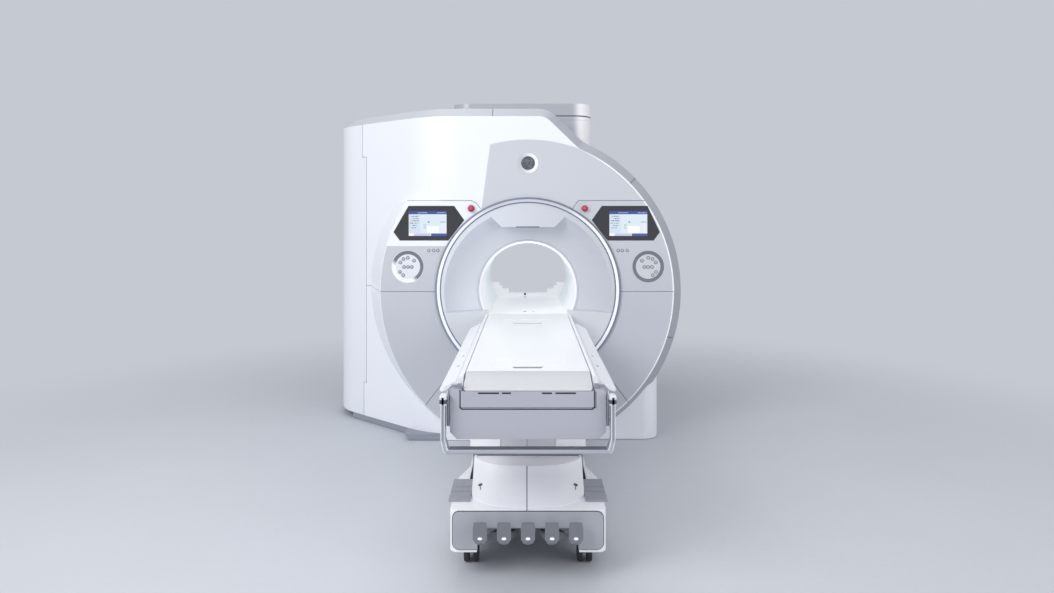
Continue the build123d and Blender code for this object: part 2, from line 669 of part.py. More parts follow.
def table_frame():
    foot = FOOT_Y + CAP_LONG
    deck_top = CRADLE_BOTTOM - NEAR
    deck = block(-RAIL_OUT, RAIL_OUT, foot, HEAD_Y, deck_top - RAIL_WALL, deck_top)
    body = deck + block(-RAIL_OUT, RAIL_OUT, HEAD_Y - 10, HEAD_Y, FRAME_BOTTOM, deck_top)
    low = deck_top - RAIL_WALL
    for side in (-1, 1):
        rail = front_prism(outline([
            (side * RAIL_IN, low), (side * RAIL_IN, RAIL_TOP), (side * (RAIL_OUT - 9), RAIL_TOP),
            (side * RAIL_OUT, RAIL_TOP - 13), (side * RAIL_OUT, FRAME_BOTTOM),
            (side * (RAIL_OUT - RAIL_WALL), FRAME_BOTTOM), (side * (RAIL_OUT - RAIL_WALL), low)]),
            foot, HEAD_Y)
        # buffer that meets the front cover when the table is docked
        x0, x1 = sorted((side * 180, side * 220))
        buffer = block(x0, x1, HEAD_Y - 5, FRONT_Y - 0.3, APRON_Z - 56, APRON_Z - 16)
        body = body + rail + buffer
    return body


def end_cap():
    low, half = CAP_BOTTOM, CAP_HALF
    face = outline([(-half, CAP_TOP), (-half, low + 30), (-half + 30, low),
                    (half - 30, low), (half, low + 30), (half, CAP_TOP)])
    face = fillet([corner(face, -half, CAP_TOP), corner(face, half, CAP_TOP)], 22)
    body = front_prism(face, FOOT_Y, FOOT_Y + CAP_LONG - NEAR)
    front = FOOT_Y - 5
    body = body - block(-RAIL_IN, RAIL_IN, front, FOOT_Y + CAP_LONG, CRADLE_BOTTOM - NEAR, CAP_TOP + 5)
    inner = RAIL_OUT - 16
    body = body - block(-inner, inner, FOOT_Y + 12, FOOT_Y + CAP_LONG, low - 5, CRADLE_BOTTOM - 25)
    # drawn line round the panel under the cradle
    wide, z = RAIL_IN + SKIN, CRADLE_BOTTOM - 72
    body = body - block(-wide, wide, front, FOOT_Y + 6, z, z + 5)
    for x in (-wide, wide - 5):
        body = body - block(x, x + 5, front, FOOT_Y + 6, z, CRADLE_BOTTOM)
    return body


def handle_bracket():
    # upright tube beside the cap, bent inwards over it, with the pin that the handle swings on
    y, z = HANDLE_PIVOT
    x = CAP_HALF + 8
    over = CAP_TOP + 12
    tube_y = FOOT_Y + 10
    tube = rod_z(7, z - 125, over - 14, x, tube_y) + rod_x(7, CAP_HALF - 40, x - 14, tube_y, over)
    tube = tube + Pos(x - 7, tube_y, over - 7) * Rot(0, -45, 0) * Cylinder(7, 14 * sqrt(2) + 4)
    tube = tube + block(CAP_HALF - 48, CAP_HALF - 32, tube_y - 9, tube_y + 9, CAP_TOP + NEAR, over + 9)
    tube = tube + block(CAP_HALF + NEAR, x, tube_y - 8, tube_y + 8, z - 120, z - 104)
    tube = tube + block(x - 6, x + 6, y - 8, tube_y, z - 9, z + 9)
    return tube + rod_x(HANDLE_PIN_R, x, HANDLE_HALF + 6, y, z)


def push_handle():
    y, z = HANDLE_PIVOT
    half, bar, low = HANDLE_HALF, HANDLE_BAR, HANDLE_LOW
    out = outline([(-half, z + 11), (-half, low + 60), (-half + 10, low + 12), (-half + 22, low),
                   (half - 22, low), (half - 10, low + 12), (half, low + 60), (half, z + 11)])
    inner = outline([(-half + bar, z + 40), (-half + bar, low + 62), (-half + 32, low + bar),
                     (half - 32, low + bar), (half - bar, low + 62), (half - bar, z + 40)])
    body = front_prism(out - inner, y - HANDLE_DEEP, y + HANDLE_DEEP)
    body = chamfer(body.edges().filter_by(Plane.XZ).filter_by(GeomType.LINE), 5)
    for side in (-1, 1):
        x = side * (half - bar / 2)
        body = body - rod_x(HANDLE_PIN_R + RUN, x - 30, x + 30, y, z)
    return body


def arm_board(y0, y1):
    # right side; the inner edge is the hinge barrel, the outer corners are round in plan
    wide = BOARD_WIDE
    face = Circle(BARREL_R) + make_face(Curve() + [
        Line((0, -BARREL_R), (wide - 10, 0.4 - BARREL_R)),
        ThreePointArc((wide - 10, 0.4 - BARREL_R), (wide, 4), (wide - 9, 12)),
        Line((wide - 9, 12), (3, 14)), Line((3, 14), (0, BARREL_R)),
        Line((0, BARREL_R), (0, -BARREL_R))])
    face = Rot(0, 0, -BOARD_SLOPE) * face
    body = front_prism(Pos(BOARD_PIVOT_X, BOARD_PIVOT_Z) * face, y0, y1)
    x1 = BOARD_PIVOT_X + wide
    plan = outline([(200, y0), (x1, y0), (x1, y1), (200, y1)])
    plan = fillet([corner(plan, x1, y0), corner(plan, x1, y1)], 38)
    return body & plan_prism(plan, BOARD_PIVOT_Z - 2 * wide, BOARD_PIVOT_Z + 2 * wide)


# Patient table, lower part

def sleeve_box(grow, z0, z1):
    # the plan of the lift sleeve, larger or smaller all round
    half = SLEEVE_HALF + grow
    return block(-half, half, SLEEVE_Y[0] - grow, SLEEVE_Y[1] + grow, z0, z1)


def lift_sleeve():
    top = CRADLE_BOTTOM - NEAR - RAIL_WALL - NEAR
    return sleeve_box(0, SLEEVE_BOTTOM, top) - sleeve_box(-SKIN, SLEEVE_BOTTOM - 5, top - 10)


def lift_column():
    inner = -SKIN - SLEEVE_GAP
    body = sleeve_box(inner, CHASSIS_TOP, COLUMN_TOP)
    # glide collar that the sleeve runs on
    body = body + sleeve_box(-SKIN - NEAR, COLUMN_TOP - 10 - GLIDE, COLUMN_TOP - 10)
    return body - sleeve_box(inner - 12, CHASSIS_TOP - 5, COLUMN_TOP - 12)


def base_frame():
    # floor of the base, notched for the pedals, with the shaft that they turn on
    low, top = BASE_BOTTOM + NEAR, CHASSIS_TOP
    y, z = PEDAL_SHAFT
    body = plan_prism(base_plan(SKIN + NEAR), low, top)
    body = body - block(-RECESS_HALF, RECESS_HALF, BASE_FRONT, y + 100, low - 5, top + 5)
    post = BASE_HALF - 50
    for x in (-post, post):
        body = body + block(x - 6, x + 6, y - 25, y + 25, low, z + 20)
    body = body + rod_x(PEDAL_SHAFT_R, -post, post, y, z)
    for x, cy in CASTERS:
        body = body - rod_z(STEM_R + RUN, low - 5, top + 5, x, cy)
    return body


def base_plan(inset):
    # wide at the foot, narrower behind the step pads
    h = BASE_HALF - inset
    r = BASE_HALF - 48 - inset
    f = BASE_FRONT + inset
    b = BASE_FRONT + BASE_LONG - inset
    face = outline([(-h, f), (h, f), (h, BASE_FRONT + 395), (r, BASE_FRONT + 565), (r, b), (-r, b),
                    (-r, BASE_FRONT + 565), (-h, BASE_FRONT + 395)])
    return fillet([corner(face, -h, f), corner(face, h, f)], 36 - inset)


def hump_level(inset, z, front):
    # front is the middle of the rounded nose, the back lies inside the well for the sleeve
    h = HUMP_HALF - inset
    nose = [(0, 0), (h - 134, 14), (h - 74, 42), (h - 29, 84), (h, 127)]
    right = [(x, front + inset + run) for x, run in nose]
    left = [(-x, y) for x, y in reversed(right[1:])]
    back = SLEEVE_Y[0] + 20
    return Plane.XY.offset(z - inset) * outline(left + right + [(h, back), (-h, back)])


def hump(inset):
    # rises in two slopes from the flat top of the base to the collar in front of the sleeve
    return loft([hump_level(inset, BASE_TOP - 12, BASE_FRONT + 8),
                 hump_level(inset, HUMP_TOP - 45, BASE_FRONT + 156),
                 hump_level(inset, HUMP_TOP, BASE_FRONT + 201)], ruled=True)


def base_cover():
    body = plan_prism(base_plan(0), BASE_BOTTOM + NEAR, BASE_TOP) + hump(0)
    body = body - plan_prism(base_plan(SKIN), BASE_BOTTOM - 5, BASE_TOP - SKIN)
    body = body - hump(SKIN)
    # sunken field inside the collar
    field = hump_level(0, HUMP_TOP, BASE_FRONT + 201)
    body = body - extrude(offset(field, amount=-13, kind=Kind.INTERSECTION), amount=-4)
    body = body - sleeve_box(SLEEVE_GAP, BASE_TOP - 62, HUMP_TOP + 5)
    recess = RECESS_HALF
    return body - block(-recess, recess, BASE_FRONT - 10, BASE_FRONT + 20, BASE_BOTTOM - 25, PEDAL_SHAFT[1] + 3)


def pedal_panel():
    low = BASE_BOTTOM + 17
    face = Pos(0, low + 83) * RectangleRounded(2 * BASE_HALF - 30, 166, 28)
    face = face - Pos(0, PEDAL_SHAFT[1] - 80) * Rectangle(2 * RECESS_HALF - 6, 160)
    return front_prism(face, BASE_FRONT - SKIN, BASE_FRONT - FIT)


def step_pad(side):
    x0, x1 = sorted((side * (HUMP_HALF + 2), side * (BASE_HALF + 15)))
    y0 = BASE_FRONT + 95
    body = block(x0, x1, y0, SLEEVE_Y[0] - 2 * SLEEVE_GAP, BASE_TOP + FIT, BASE_TOP + 10)
    for y in (y0 + 100, y0 + 158):
        body = body - block(x0 - 5, x1 + 5, y - 4, y + 4, BASE_TOP + 6, BASE_TOP + 20)
    return body


def pedal(x):
    y, z = PEDAL_SHAFT
    face = outline([(-27, z + 49), (27, z + 49), (31, z + 27), (31, z - 23), (22, z - 33), (22, z - 39),
                    (-22, z - 39), (-22, z - 33), (-31, z - 23), (-31, z + 27)])
    front = BASE_FRONT - PEDAL_OUT
    body = Pos(x, 0, 0) * front_prism(face, front, front + PEDAL_THICK)
    boss = x * PEDAL_SPREAD
    arm = outline([(x - 12, front + PEDAL_THICK - 1), (x + 12, front + PEDAL_THICK - 1),
                   (boss + 12, y), (boss - 12, y)])
    body = body + plan_prism(arm, z - 50, z - 25)
    body = body + block(boss - 12, boss + 12, y - 12, y + 12, z - 50, z + 12)
    return body - rod_x(PEDAL_SHAFT_R + RUN, boss - 30, boss + 30, y, z)


def caster_fork(x, y):
    top = BASE_BOTTOM + NEAR - FIT
    axle_y = y + WHEEL_TRAIL
    body = rod_z(STEM_R, top - 4, CHASSIS_TOP - 2, x, y)
    body = body + block(x - 24, x + 24, y - 24, y + 24, WHEEL_R * 2 + 1.5, top)
    web = side_prism(outline([(y - 22, top), (y - 22, top - 30), (axle_y - 14, WHEEL_R - 10),
                              (axle_y + 14, WHEEL_R - 10), (axle_y + 20, top)]),
                     x - FORK_HALF, x + FORK_HALF)
    return body + web - rod_x(AXLE_R + RUN, x - 30, x + 30, axle_y, WHEEL_R)


def caster_wheel(x, y):
    # a pair of wheels on one axle, one on each side of the fork
    cy = y + WHEEL_TRAIL
    inner = FORK_HALF + 1
    outer = inner + WHEEL_WIDE
    return (rod_x(WHEEL_R, x - outer, x - inner, cy, WHEEL_R)
            + rod_x(AXLE_R, x - inner, x + inner, cy, WHEEL_R)
            + rod_x(WHEEL_R, x + inner, x + outer, cy, WHEEL_R))


save("magnet_cryostat", magnet_cryostat())
save("gradient_coil", gradient_coil())
save("bore_tube", Compound(children=[bore_tube(), bore_lip()]))
save("patient_bridge", patient_bridge())
save("bridge_end", bridge_end())
save("bridge_apron", bridge_apron())
save("bore_surround", bore_surround())
save("bore_shelf", bore_shelf())
save("halo_bezel", halo_bezel())
save("halo_light", halo_light())
save("front_cover_upper", front_cover_upper())
save("front_cover_left", front_cover_left())
save("front_cover_right", front_cover_right())
save("front_cover_chin", front_cover_chin())
save("side_cover_left", side_cover_left())
save("floor_skirt_left", floor_skirt_left())
save("roof_cover_left", roof_cover_left())
save("roof_cover_right", roof_cover_right())
save("side_cover_right", side_cover_right())
save("side_cover_lower", side_cover_lower())
save("plinth_right", plinth_right())
save("turret_cover", turret_cover())
save("turret_cap", turret_cap())
save("rear_cover", rear_cover())
save("display_left", display(-1))
save("display_right", mirror_x(display(1)))
for name, control in (("dials", dial()), ("keypads", keypad())):
    save(name, Compound(children=[control, mirror_x(control)]))
save("emergency_button_left", emergency_button())
save("emergency_button_right", mirror_x(emergency_button()))

save("cradle", cradle())
save("table_frame", table_frame())
save("end_cap", end_cap())
save("handle_brackets", handle_bracket() + mirror_x(handle_bracket()))
save("push_handle", push_handle())
for place, ends in zip(("foot", "head"), BOARD_ENDS):
    board = arm_board(*ends)
    save("arm_board_right_" + place, board)
    save("arm_board_left_" + place, mirror_x(board))
save("lift_sleeve", lift_sleeve())
save("lift_column", lift_column())
save("base_frame", base_frame())
save("base_cover", base_cover())
save("pedal_panel", pedal_panel())
save("step_pads", Compound(children=[step_pad(-1), step_pad(1)]))
for number in range(1, 6):
    save("pedal_" + str(number), pedal((number - 3) * PEDAL_PITCH))
for place, (caster_x, caster_y) in zip(("foot_left", "foot_right", "head_left", "head_right"), CASTERS):
    save("caster_fork_" + place, caster_fork(caster_x, caster_y))
    save("caster_wheel_" + place, caster_wheel(caster_x, caster_y))
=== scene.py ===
import json
import math

import bpy
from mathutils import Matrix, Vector


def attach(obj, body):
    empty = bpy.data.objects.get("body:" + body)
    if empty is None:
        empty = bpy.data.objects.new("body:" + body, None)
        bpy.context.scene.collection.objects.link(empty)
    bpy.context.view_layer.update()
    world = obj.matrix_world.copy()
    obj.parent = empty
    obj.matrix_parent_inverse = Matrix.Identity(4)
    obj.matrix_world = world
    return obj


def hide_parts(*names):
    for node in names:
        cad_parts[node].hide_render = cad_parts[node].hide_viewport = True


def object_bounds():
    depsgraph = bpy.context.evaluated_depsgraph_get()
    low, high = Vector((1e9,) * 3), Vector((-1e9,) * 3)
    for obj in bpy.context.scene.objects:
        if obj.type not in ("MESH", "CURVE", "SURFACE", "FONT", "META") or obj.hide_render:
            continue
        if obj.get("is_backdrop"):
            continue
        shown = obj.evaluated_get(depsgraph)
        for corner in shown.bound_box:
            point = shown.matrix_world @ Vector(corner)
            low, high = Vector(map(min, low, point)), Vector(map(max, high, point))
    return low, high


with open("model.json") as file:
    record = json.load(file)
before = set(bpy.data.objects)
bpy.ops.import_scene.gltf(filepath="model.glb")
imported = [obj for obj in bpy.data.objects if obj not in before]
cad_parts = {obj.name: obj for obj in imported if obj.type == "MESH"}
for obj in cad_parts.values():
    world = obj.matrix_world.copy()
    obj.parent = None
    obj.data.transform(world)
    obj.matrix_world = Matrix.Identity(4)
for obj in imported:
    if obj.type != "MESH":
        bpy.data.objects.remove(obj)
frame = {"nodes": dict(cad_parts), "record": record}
cadLow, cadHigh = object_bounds()
bpy.ops.object.select_all(action="DESELECT")
print("frame loaded:", len(frame["nodes"]), "solids")

bodyOfNode = {n: body for body, names in frame["record"]["behaviour"]["bodies"].items() for n in names}


def tone(red, green, blue):
    # screen colour, 0 to 255 as all colours are given here, as the linear colour that a shader takes
    def linear(value):
        value = value / 255
        return value / 12.92 if value <= 0.04045 else ((value + 0.055) / 1.055) ** 2.4
    return (linear(red), linear(green), linear(blue), 1.0)


# camera, light and floor
camera = {"eye": (0.0, -6.12, 1.629), "turn": 90, "lens": 24.56, "sensor": 36, "shiftX": -0.00095,
          "shiftY": -0.0773, "clipEnd": 200}

bpy.ops.object.camera_add(location=camera["eye"], rotation=(math.radians(camera["turn"]), 0, 0))
eye = bpy.context.object
eye.name = "PhotoCamera"
eye.data.lens = camera["lens"]
eye.data.sensor_width = camera["sensor"]
eye.data.shift_x = camera["shiftX"]
eye.data.shift_y = camera["shiftY"]
eye.data.clip_end = camera["clipEnd"]
bpy.context.scene.camera = eye
bpy.context.scene.view_settings.view_transform = "Standard"

studio = {
    "lamps": (    # name, place, target, size, power
        ("KeyLight", (-4.2, -6.0, 4.6), (0, -0.8, 1.1), 3.6, 285),
        ("FillLight", (4.8, -5.6, 2.6), (0, -0.8, 1.0), 4.0, 115),
        ("TopLight", (0.0, -0.6, 6.5), (0, -0.8, 0.0), 5.0, 110)),
    "world": (222, 224, 229), "worldLevel": 0.62, "backdrop": (196, 201, 210),
    "floorColour": (199, 203, 210), "floorSize": 160, "floorRoughness": 0.6, "floorToneChange": 0.01,
    "floorMiddle": (0.0, -1.2), "floorNear": 2.0, "floorFar": 5.6,
}

for name, start, target, size, power in studio["lamps"]:
    bpy.ops.object.light_add(type="AREA", location=start)
    lamp = bpy.context.object
    lamp.name = name
    lamp.data.size = size
    lamp.data.energy = power
    lamp.rotation_euler = (Vector(target) - Vector(start)).to_track_quat("-Z", "Y").to_euler()

bpy.ops.mesh.primitive_plane_add(size=studio["floorSize"], location=(0, 0, 0))
floor = bpy.context.object
floor.name = "StudioFloor"
floor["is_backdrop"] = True
print("camera and lamps ready")


# shared effects and small node helpers
def socketGroup(name, inputs, outputs):
    # an empty node group, with what comes in and what goes out; inputs are (name, kind, value)
    group = bpy.data.node_groups.new(name, "ShaderNodeTree")
    for label, kind, value in inputs:
        group.interface.new_socket(name=label, in_out="INPUT", socket_type=kind).default_value = value
    for label, kind in outputs:
        group.interface.new_socket(name=label, in_out="OUTPUT", socket_type=kind)
    return group, group.nodes.new("NodeGroupInput").outputs, group.nodes.new("NodeGroupOutput").inputs


def numberGroup(name, labels, output):
    return socketGroup(name, [(label, "NodeSocketFloat", 0.0) for label in labels], [(output, "NodeSocketFloat")])


def plug(tree, value, socket):
    # a number, vector or screen colour is written on the socket, anything else is linked to it
    if isinstance(value, (int, float, tuple)):
        socket.default_value = tone(*value) if socket.type == "RGBA" else value
    elif value is not None:
        tree.links.new(value, socket)


def addNode(tree, kind, inputs=None, **settings):
    # a node with its settings made and its inputs set or linked; gives its outputs
    node = tree.nodes.new("ShaderNode" + kind)
    for label, value in settings.items():
        setattr(node, label, value)
    for label, value in (inputs or {}).items():
        plug(tree, value, node.inputs[label])
    return node.outputs


def mathNode(tree, operation, first, second=None, clamp=False):
    return addNode(tree, "Math", {0: first, 1: second}, operation=operation, use_clamp=clamp)[0]


def times(tree, first, second):
    return mathNode(tree, "MULTIPLY", first, second)


def minus(tree, first, second):
    return mathNode(tree, "SUBTRACT", first, second)


def noiseNode(tree, vector, scale, detail, rough=0.5):
    return addNode(tree, "TexNoise", {"Vector": vector, "Scale": scale, "Detail": detail, "Roughness": rough})["Fac"]


def rangeNode(tree, value, low, high, toLow=0.0, toHigh=1.0, smooth=False):
    return addNode(tree, "MapRange", {"Value": value, "From Min": low, "From Max": high, "To Min": toLow,
                                      "To Max": toHigh},
                   interpolation_type="SMOOTHSTEP" if smooth else "LINEAR")["Result"]


def stepNode(tree, value, edge, soft, smooth=False):
    # 0 below an edge and 1 above it, or the other way round with a negative softness
    return rangeNode(tree, value, edge - soft, edge + soft, smooth=smooth)


def mixNode(tree, factor, first, second):
    return addNode(tree, "Mix", {0: factor, 6: first, 7: second}, data_type="RGBA")[2]


def objectPlace(tree):
    # the point's own place in metres: the vector, and its x, y and z
    vector = addNode(tree, "TexCoord")["Object"]
    return (vector, *addNode(tree, "SeparateXYZ", {0: vector}))


def facingParts(tree):
    # x, y and z of the surface's direction
    return addNode(tree, "SeparateXYZ", {0: addNode(tree, "NewGeometry")["Normal"]})


skin = {"slowScale": 1.7, "slowDetail": 4.0, "noiseLow": 0.3, "noiseHigh": 0.7, "dustFacing": 0.55,
        "dustScale": 38.0, "dustDetail": 6.0, "dustRough": 0.7, "dustLow": 0.48, "dustHigh": 0.68,
        "dustColour": (150, 148, 142), "wipeScale": 9.0, "wipeDetail": 5.0, "wipeRough": 0.6,
        "peelDetail": 2.0, "bumpDistance": 0.002, "coatRoughness": 0.1}


def makeMouldedSkin():
    # painted or moulded plastic: slow change of tone, wiped gloss, orange peel, dust on upward faces
    number = "NodeSocketFloat"
    group, start, end = socketGroup(
        "MouldedSkin",
        [("Colour", "NodeSocketColor", (0.8, 0.8, 0.8, 1)), ("Tone Change", number, 0.03),
         ("Roughness", number, 0.35), ("Roughness Change", number, 0.08), ("Peel Scale", number, 260.0),
         ("Peel Depth", number, 0.05), ("Dust", number, 0.04)],
        [("Colour", "NodeSocketColor"), ("Roughness", number), ("Normal", "NodeSocketVector")])
    vector = addNode(group, "TexCoord")["Object"]
    slow = rangeNode(group, noiseNode(group, vector, skin["slowScale"], skin["slowDetail"]), skin["noiseLow"],
                     skin["noiseHigh"], -1.0, 1.0)
    shade = mathNode(group, "ADD", times(group, slow, start["Tone Change"]), 1.0)
    shaded = addNode(group, "VectorMath", {0: start["Colour"], "Scale": shade}, operation="SCALE")[0]
    settled = rangeNode(group, facingParts(group)[2], skin["dustFacing"], 1.0)
    specks = rangeNode(group, noiseNode(group, vector, skin["dustScale"], skin["dustDetail"], skin["dustRough"]),
                       skin["dustLow"], skin["dustHigh"])
    dust = times(group, times(group, settled, specks), start["Dust"])
    plug(group, mixNode(group, dust, shaded, skin["dustColour"]), end["Colour"])
    wiped = rangeNode(group, noiseNode(group, vector, skin["wipeScale"], skin["wipeDetail"], skin["wipeRough"]),
                      skin["noiseLow"], skin["noiseHigh"], -1.0, 1.0)
    change = mathNode(group, "ADD", times(group, wiped, start["Roughness Change"]), dust)
    plug(group, mathNode(group, "ADD", start["Roughness"], change, True), end["Roughness"])
    peel = noiseNode(group, vector, start["Peel Scale"], skin["peelDetail"])
    plug(group, addNode(group, "Bump", {"Distance": skin["bumpDistance"], "Strength": start["Peel Depth"],
                                        "Height": peel})["Normal"], end["Normal"])
    return group


def makeFieldMask():
    # 1 inside an upright rectangle of the face, 0 outside, with a soft edge
    group, start, end = numberGroup(
        "FieldMask", ("X", "Z", "Middle X", "Middle Z", "Half X", "Half Z", "Soft"), "Mask")
    masks = []
    for axis in ("X", "Z"):
        away = mathNode(group, "ABSOLUTE", minus(group, start[axis], start["Middle " + axis]))
        inside = minus(group, start["Half " + axis], away)
        masks.append(mathNode(group, "DIVIDE", inside, start["Soft"], True))
    plug(group, times(group, *masks), end["Mask"])
    return group


def makeDistance():
    # distance from a point of the face, along the face
    group, start, end = numberGroup("FaceDistance", ("X", "Z", "Middle X", "Middle Z"), "Distance")
    squares = []
    for axis in ("X", "Z"):
        away = minus(group, start[axis], start["Middle " + axis])
        squares.append(times(group, away, away))
    plug(group, mathNode(group, "SQRT", mathNode(group, "ADD", *squares)), end["Distance"])
    return group


mouldedSkin = makeMouldedSkin()
fieldMask = makeFieldMask()
faceDistance = makeDistance()


def fieldNode(tree, x, z, left, right, low, high, soft):
    return addNode(tree, "Group", {
        "X": x, "Z": z, "Middle X": (left + right) / 2, "Middle Z": (low + high) / 2,
        "Half X": (right - left) / 2, "Half Z": (high - low) / 2, "Soft": soft}, node_tree=fieldMask)[0]


def distanceNode(tree, x, z, middleX, middleZ):
    return addNode(tree, "Group", {"X": x, "Z": z, "Middle X": middleX, "Middle Z": middleZ},
                   node_tree=faceDistance)[0]


finish = {}    # the materials by name


def addSkin(name, colour, roughness, coat=0.0, toneChange=0.02, roughnessChange=0.07, peelScale=260.0,
            peelDepth=0.05, metallic=0.0, glow=None, glowLevel=0.0, dust=0.04):
    # colour and glow are fixed colours or functions that make one in the tree
    material = bpy.data.materials.new(name)
    material.use_nodes = True
    tree = material.node_tree
    shader = tree.nodes["Principled BSDF"]
    for label, value in (("Metallic", metallic), ("Coat Weight", coat), ("Coat Roughness", skin["coatRoughness"])):
        shader.inputs[label].default_value = value
    outputs = addNode(tree, "Group", {
        "Colour": colour(tree) if callable(colour) else colour, "Tone Change": toneChange,
        "Roughness": roughness, "Roughness Change": roughnessChange, "Peel Scale": peelScale,
        "Peel Depth": peelDepth, "Dust": dust}, node_tree=mouldedSkin)
    for label, output in (("Base Color", "Colour"), ("Roughness", "Roughness"), ("Normal", "Normal")):
        tree.links.new(outputs[output], shader.inputs[label])
    if glow is not None:
        plug(tree, glow(tree) if callable(glow) else glow, shader.inputs["Emission Color"])
        shader.inputs["Emission Strength"].default_value = glowLevel
    finish[name] = material
    return material


def floorMaterial():
    # pale floor that fades into the backdrop far from the object
    material = addSkin("FloorPale", studio["floorColour"], studio["floorRoughness"],
                       toneChange=studio["floorToneChange"])
    tree = material.node_tree
    vector, x, y, z = objectPlace(tree)
    away = distanceNode(tree, x, y, *studio["floorMiddle"])
    far = rangeNode(tree, away, studio["floorNear"], studio["floorFar"], smooth=True)
    path = addNode(tree, "LightPath")
    seen = mathNode(tree, "ADD", path["Is Camera Ray"], path["Is Glossy Ray"], True)
    even = addNode(tree, "Emission", {"Color": studio["backdrop"]})[0]
    blend = addNode(tree, "MixShader", {0: times(tree, far, seen), 1: tree.nodes["Principled BSDF"].outputs[0],
                                        2: even})[0]
    plug(tree, blend, tree.nodes["Material Output"].inputs["Surface"])
    return material


floor.data.materials.append(floorMaterial())

# the world's light, with an even colour where the camera looks past the floor
world = bpy.data.worlds.new("StudioWorld")
bpy.context.scene.world = world
world.use_nodes = True
light = world.node_tree.nodes["Background"]
plug(world.node_tree, studio["world"], light.inputs["Color"])
plug(world.node_tree, studio["worldLevel"], light.inputs["Strength"])
behind = addNode(world.node_tree, "Background", {"Color": studio["backdrop"]})[0]
shown = addNode(world.node_tree, "MixShader", {
    0: addNode(world.node_tree, "LightPath")["Is Camera Ray"], 1: light.outputs[0], 2: behind})[0]
plug(world.node_tree, shown, world.node_tree.nodes["World Output"].inputs["Surface"])
print("floor and world ready")


# colours of the front, drawn on the point's own place, with painted shade and a painted highlight in them
face = {
    "white": (238, 241, 248), "grey": (202, 205, 212), "paintedShadeLow": (193, 196, 205), "greyFrom": 1.9,
    "greyTo": 0.8, "fieldMiddle": (0.0, 1.11), "fieldRadius": 1.0635, "fieldSoft": 0.006,
    "creaseFoot": (-0.3317, 1.701), "creaseLean": 0.1333, "creaseSoft": 0.004, "greyBelow": 1.4055, "soft": 0.003,
    "discMiddle": (0.136, 1.081), "discRadius": 1.199, "rimMiddle": (-0.066, 1.077), "rimInner": 1.1085,
    "rimSoft": 0.002, "rimFrom": 0.35, "rimTo": 0.55, "paintedRimHighlight": (252, 253, 255),
}


def faceColourWithPaintedShade(tree):
    # painted shade: a grey field round the ring, darker towards the bottom, white above it and at the upper left; a
    # painted highlight: a pale line along the round rim
    vector, x, y, z = objectPlace(tree)
    away = distanceNode(tree, x, z, *face["fieldMiddle"])
    inside = stepNode(tree, away, face["fieldRadius"], -face["fieldSoft"], smooth=True)
    footX, footZ = face["creaseFoot"]
    rise = times(tree, minus(tree, z, footZ), face["creaseLean"])
    past = minus(tree, minus(tree, x, footX), rise)
    right = stepNode(tree, past, 0.0, face["creaseSoft"], smooth=True)
    low = stepNode(tree, z, face["greyBelow"], -face["soft"], smooth=True)
    disc = stepNode(tree, distanceNode(tree, x, z, *face["discMiddle"]), face["discRadius"], -face["soft"])
    # the grey field is painted shade
    grey = mathNode(tree, "MAXIMUM", times(tree, inside, right), times(tree, low, disc))
    # the grey that is darker lower down is painted shade
    shade = rangeNode(tree, z, face["greyFrom"], face["greyTo"], smooth=True)
    colour = mixNode(tree, grey, face["white"], mixNode(tree, shade, face["grey"], face["paintedShadeLow"]))
    # the pale line along the rim is a painted highlight
    rim = distanceNode(tree, x, z, *face["rimMiddle"])
    line = times(tree, rangeNode(tree, rim, face["rimInner"], face["rimInner"] + face["rimSoft"]),
                 rangeNode(tree, x, face["rimFrom"], face["rimTo"]))
    return mixNode(tree, line, colour, face["paintedRimHighlight"])


def endTint(nearColour, farColour, nearEnd, farEnd, axis=0, mirrored=False, smooth=True):
    # a colour that changes from one place along an axis to another, or on both sides of the middle
    def colour(tree):
        along = objectPlace(tree)[axis + 1]
        if mirrored:
            along = mathNode(tree, "ABSOLUTE", along)
        return mixNode(tree, rangeNode(tree, along, nearEnd, farEnd, smooth=smooth), nearColour, farColour)
    return colour


# the funnel darker towards the right is painted shade
funnel = {"left": (217, 221, 229), "right": (200, 203, 211), "reach": 0.5}
lip = {"middle": (0.0, 1.07), "lightRadius": 0.361, "lightSoft": 0.006, "edgeSoft": 0.003, "paintedLightFront": -0.745,
       "paintedLightDeep": -0.5, "paintedLightLow": 1.16, "plainLow": 1.15, "high": 1.38, "white": (243, 242, 243),
       "glow": (180, 220, 230), "plain": (244, 250, 252), "paintedDim": (120, 122, 125), "dark": (0, 0, 0)}


def paintedBoreLight(tree):
    # painted light on the tube, which is no lamp: white round the mouth of the bore, pale cyan further in at the top,
    # dimmer lower down
    vector, x, y, z = objectPlace(tree)
    deep = rangeNode(tree, y, lip["paintedLightFront"], lip["paintedLightDeep"], smooth=True)
    high = rangeNode(tree, z, lip["paintedLightLow"], lip["high"], smooth=True)
    mouth = mixNode(tree, rangeNode(tree, z, lip["plainLow"], lip["high"], smooth=True), lip["paintedDim"], lip["plain"])
    lit = mixNode(tree, times(tree, deep, high), mouth, lip["glow"])
    away = distanceNode(tree, x, z, *lip["middle"])
    outside = rangeNode(tree, away, lip["lightRadius"], lip["lightRadius"] + lip["lightSoft"])
    return mixNode(tree, outside, lit, lip["dark"])


def lipBase(tree):
    # white tube, with the outer edge of its lip as grey as the funnel
    vector, x, y, z = objectPlace(tree)
    away = distanceNode(tree, x, z, *lip["middle"])
    outside = rangeNode(tree, away, lip["lightRadius"], lip["lightRadius"] + lip["edgeSoft"])
    return mixNode(tree, outside, lip["white"], funnel["right"])


stop = {"x": 0.4086, "z": 1.676, "paintedHighlightX": -0.003, "paintedHighlightZ": 0.004, "paintedHighlightRadius": 0.004, "deepRadius": 0.021,
        "pale": (214, 84, 100), "deep": (150, 26, 50)}


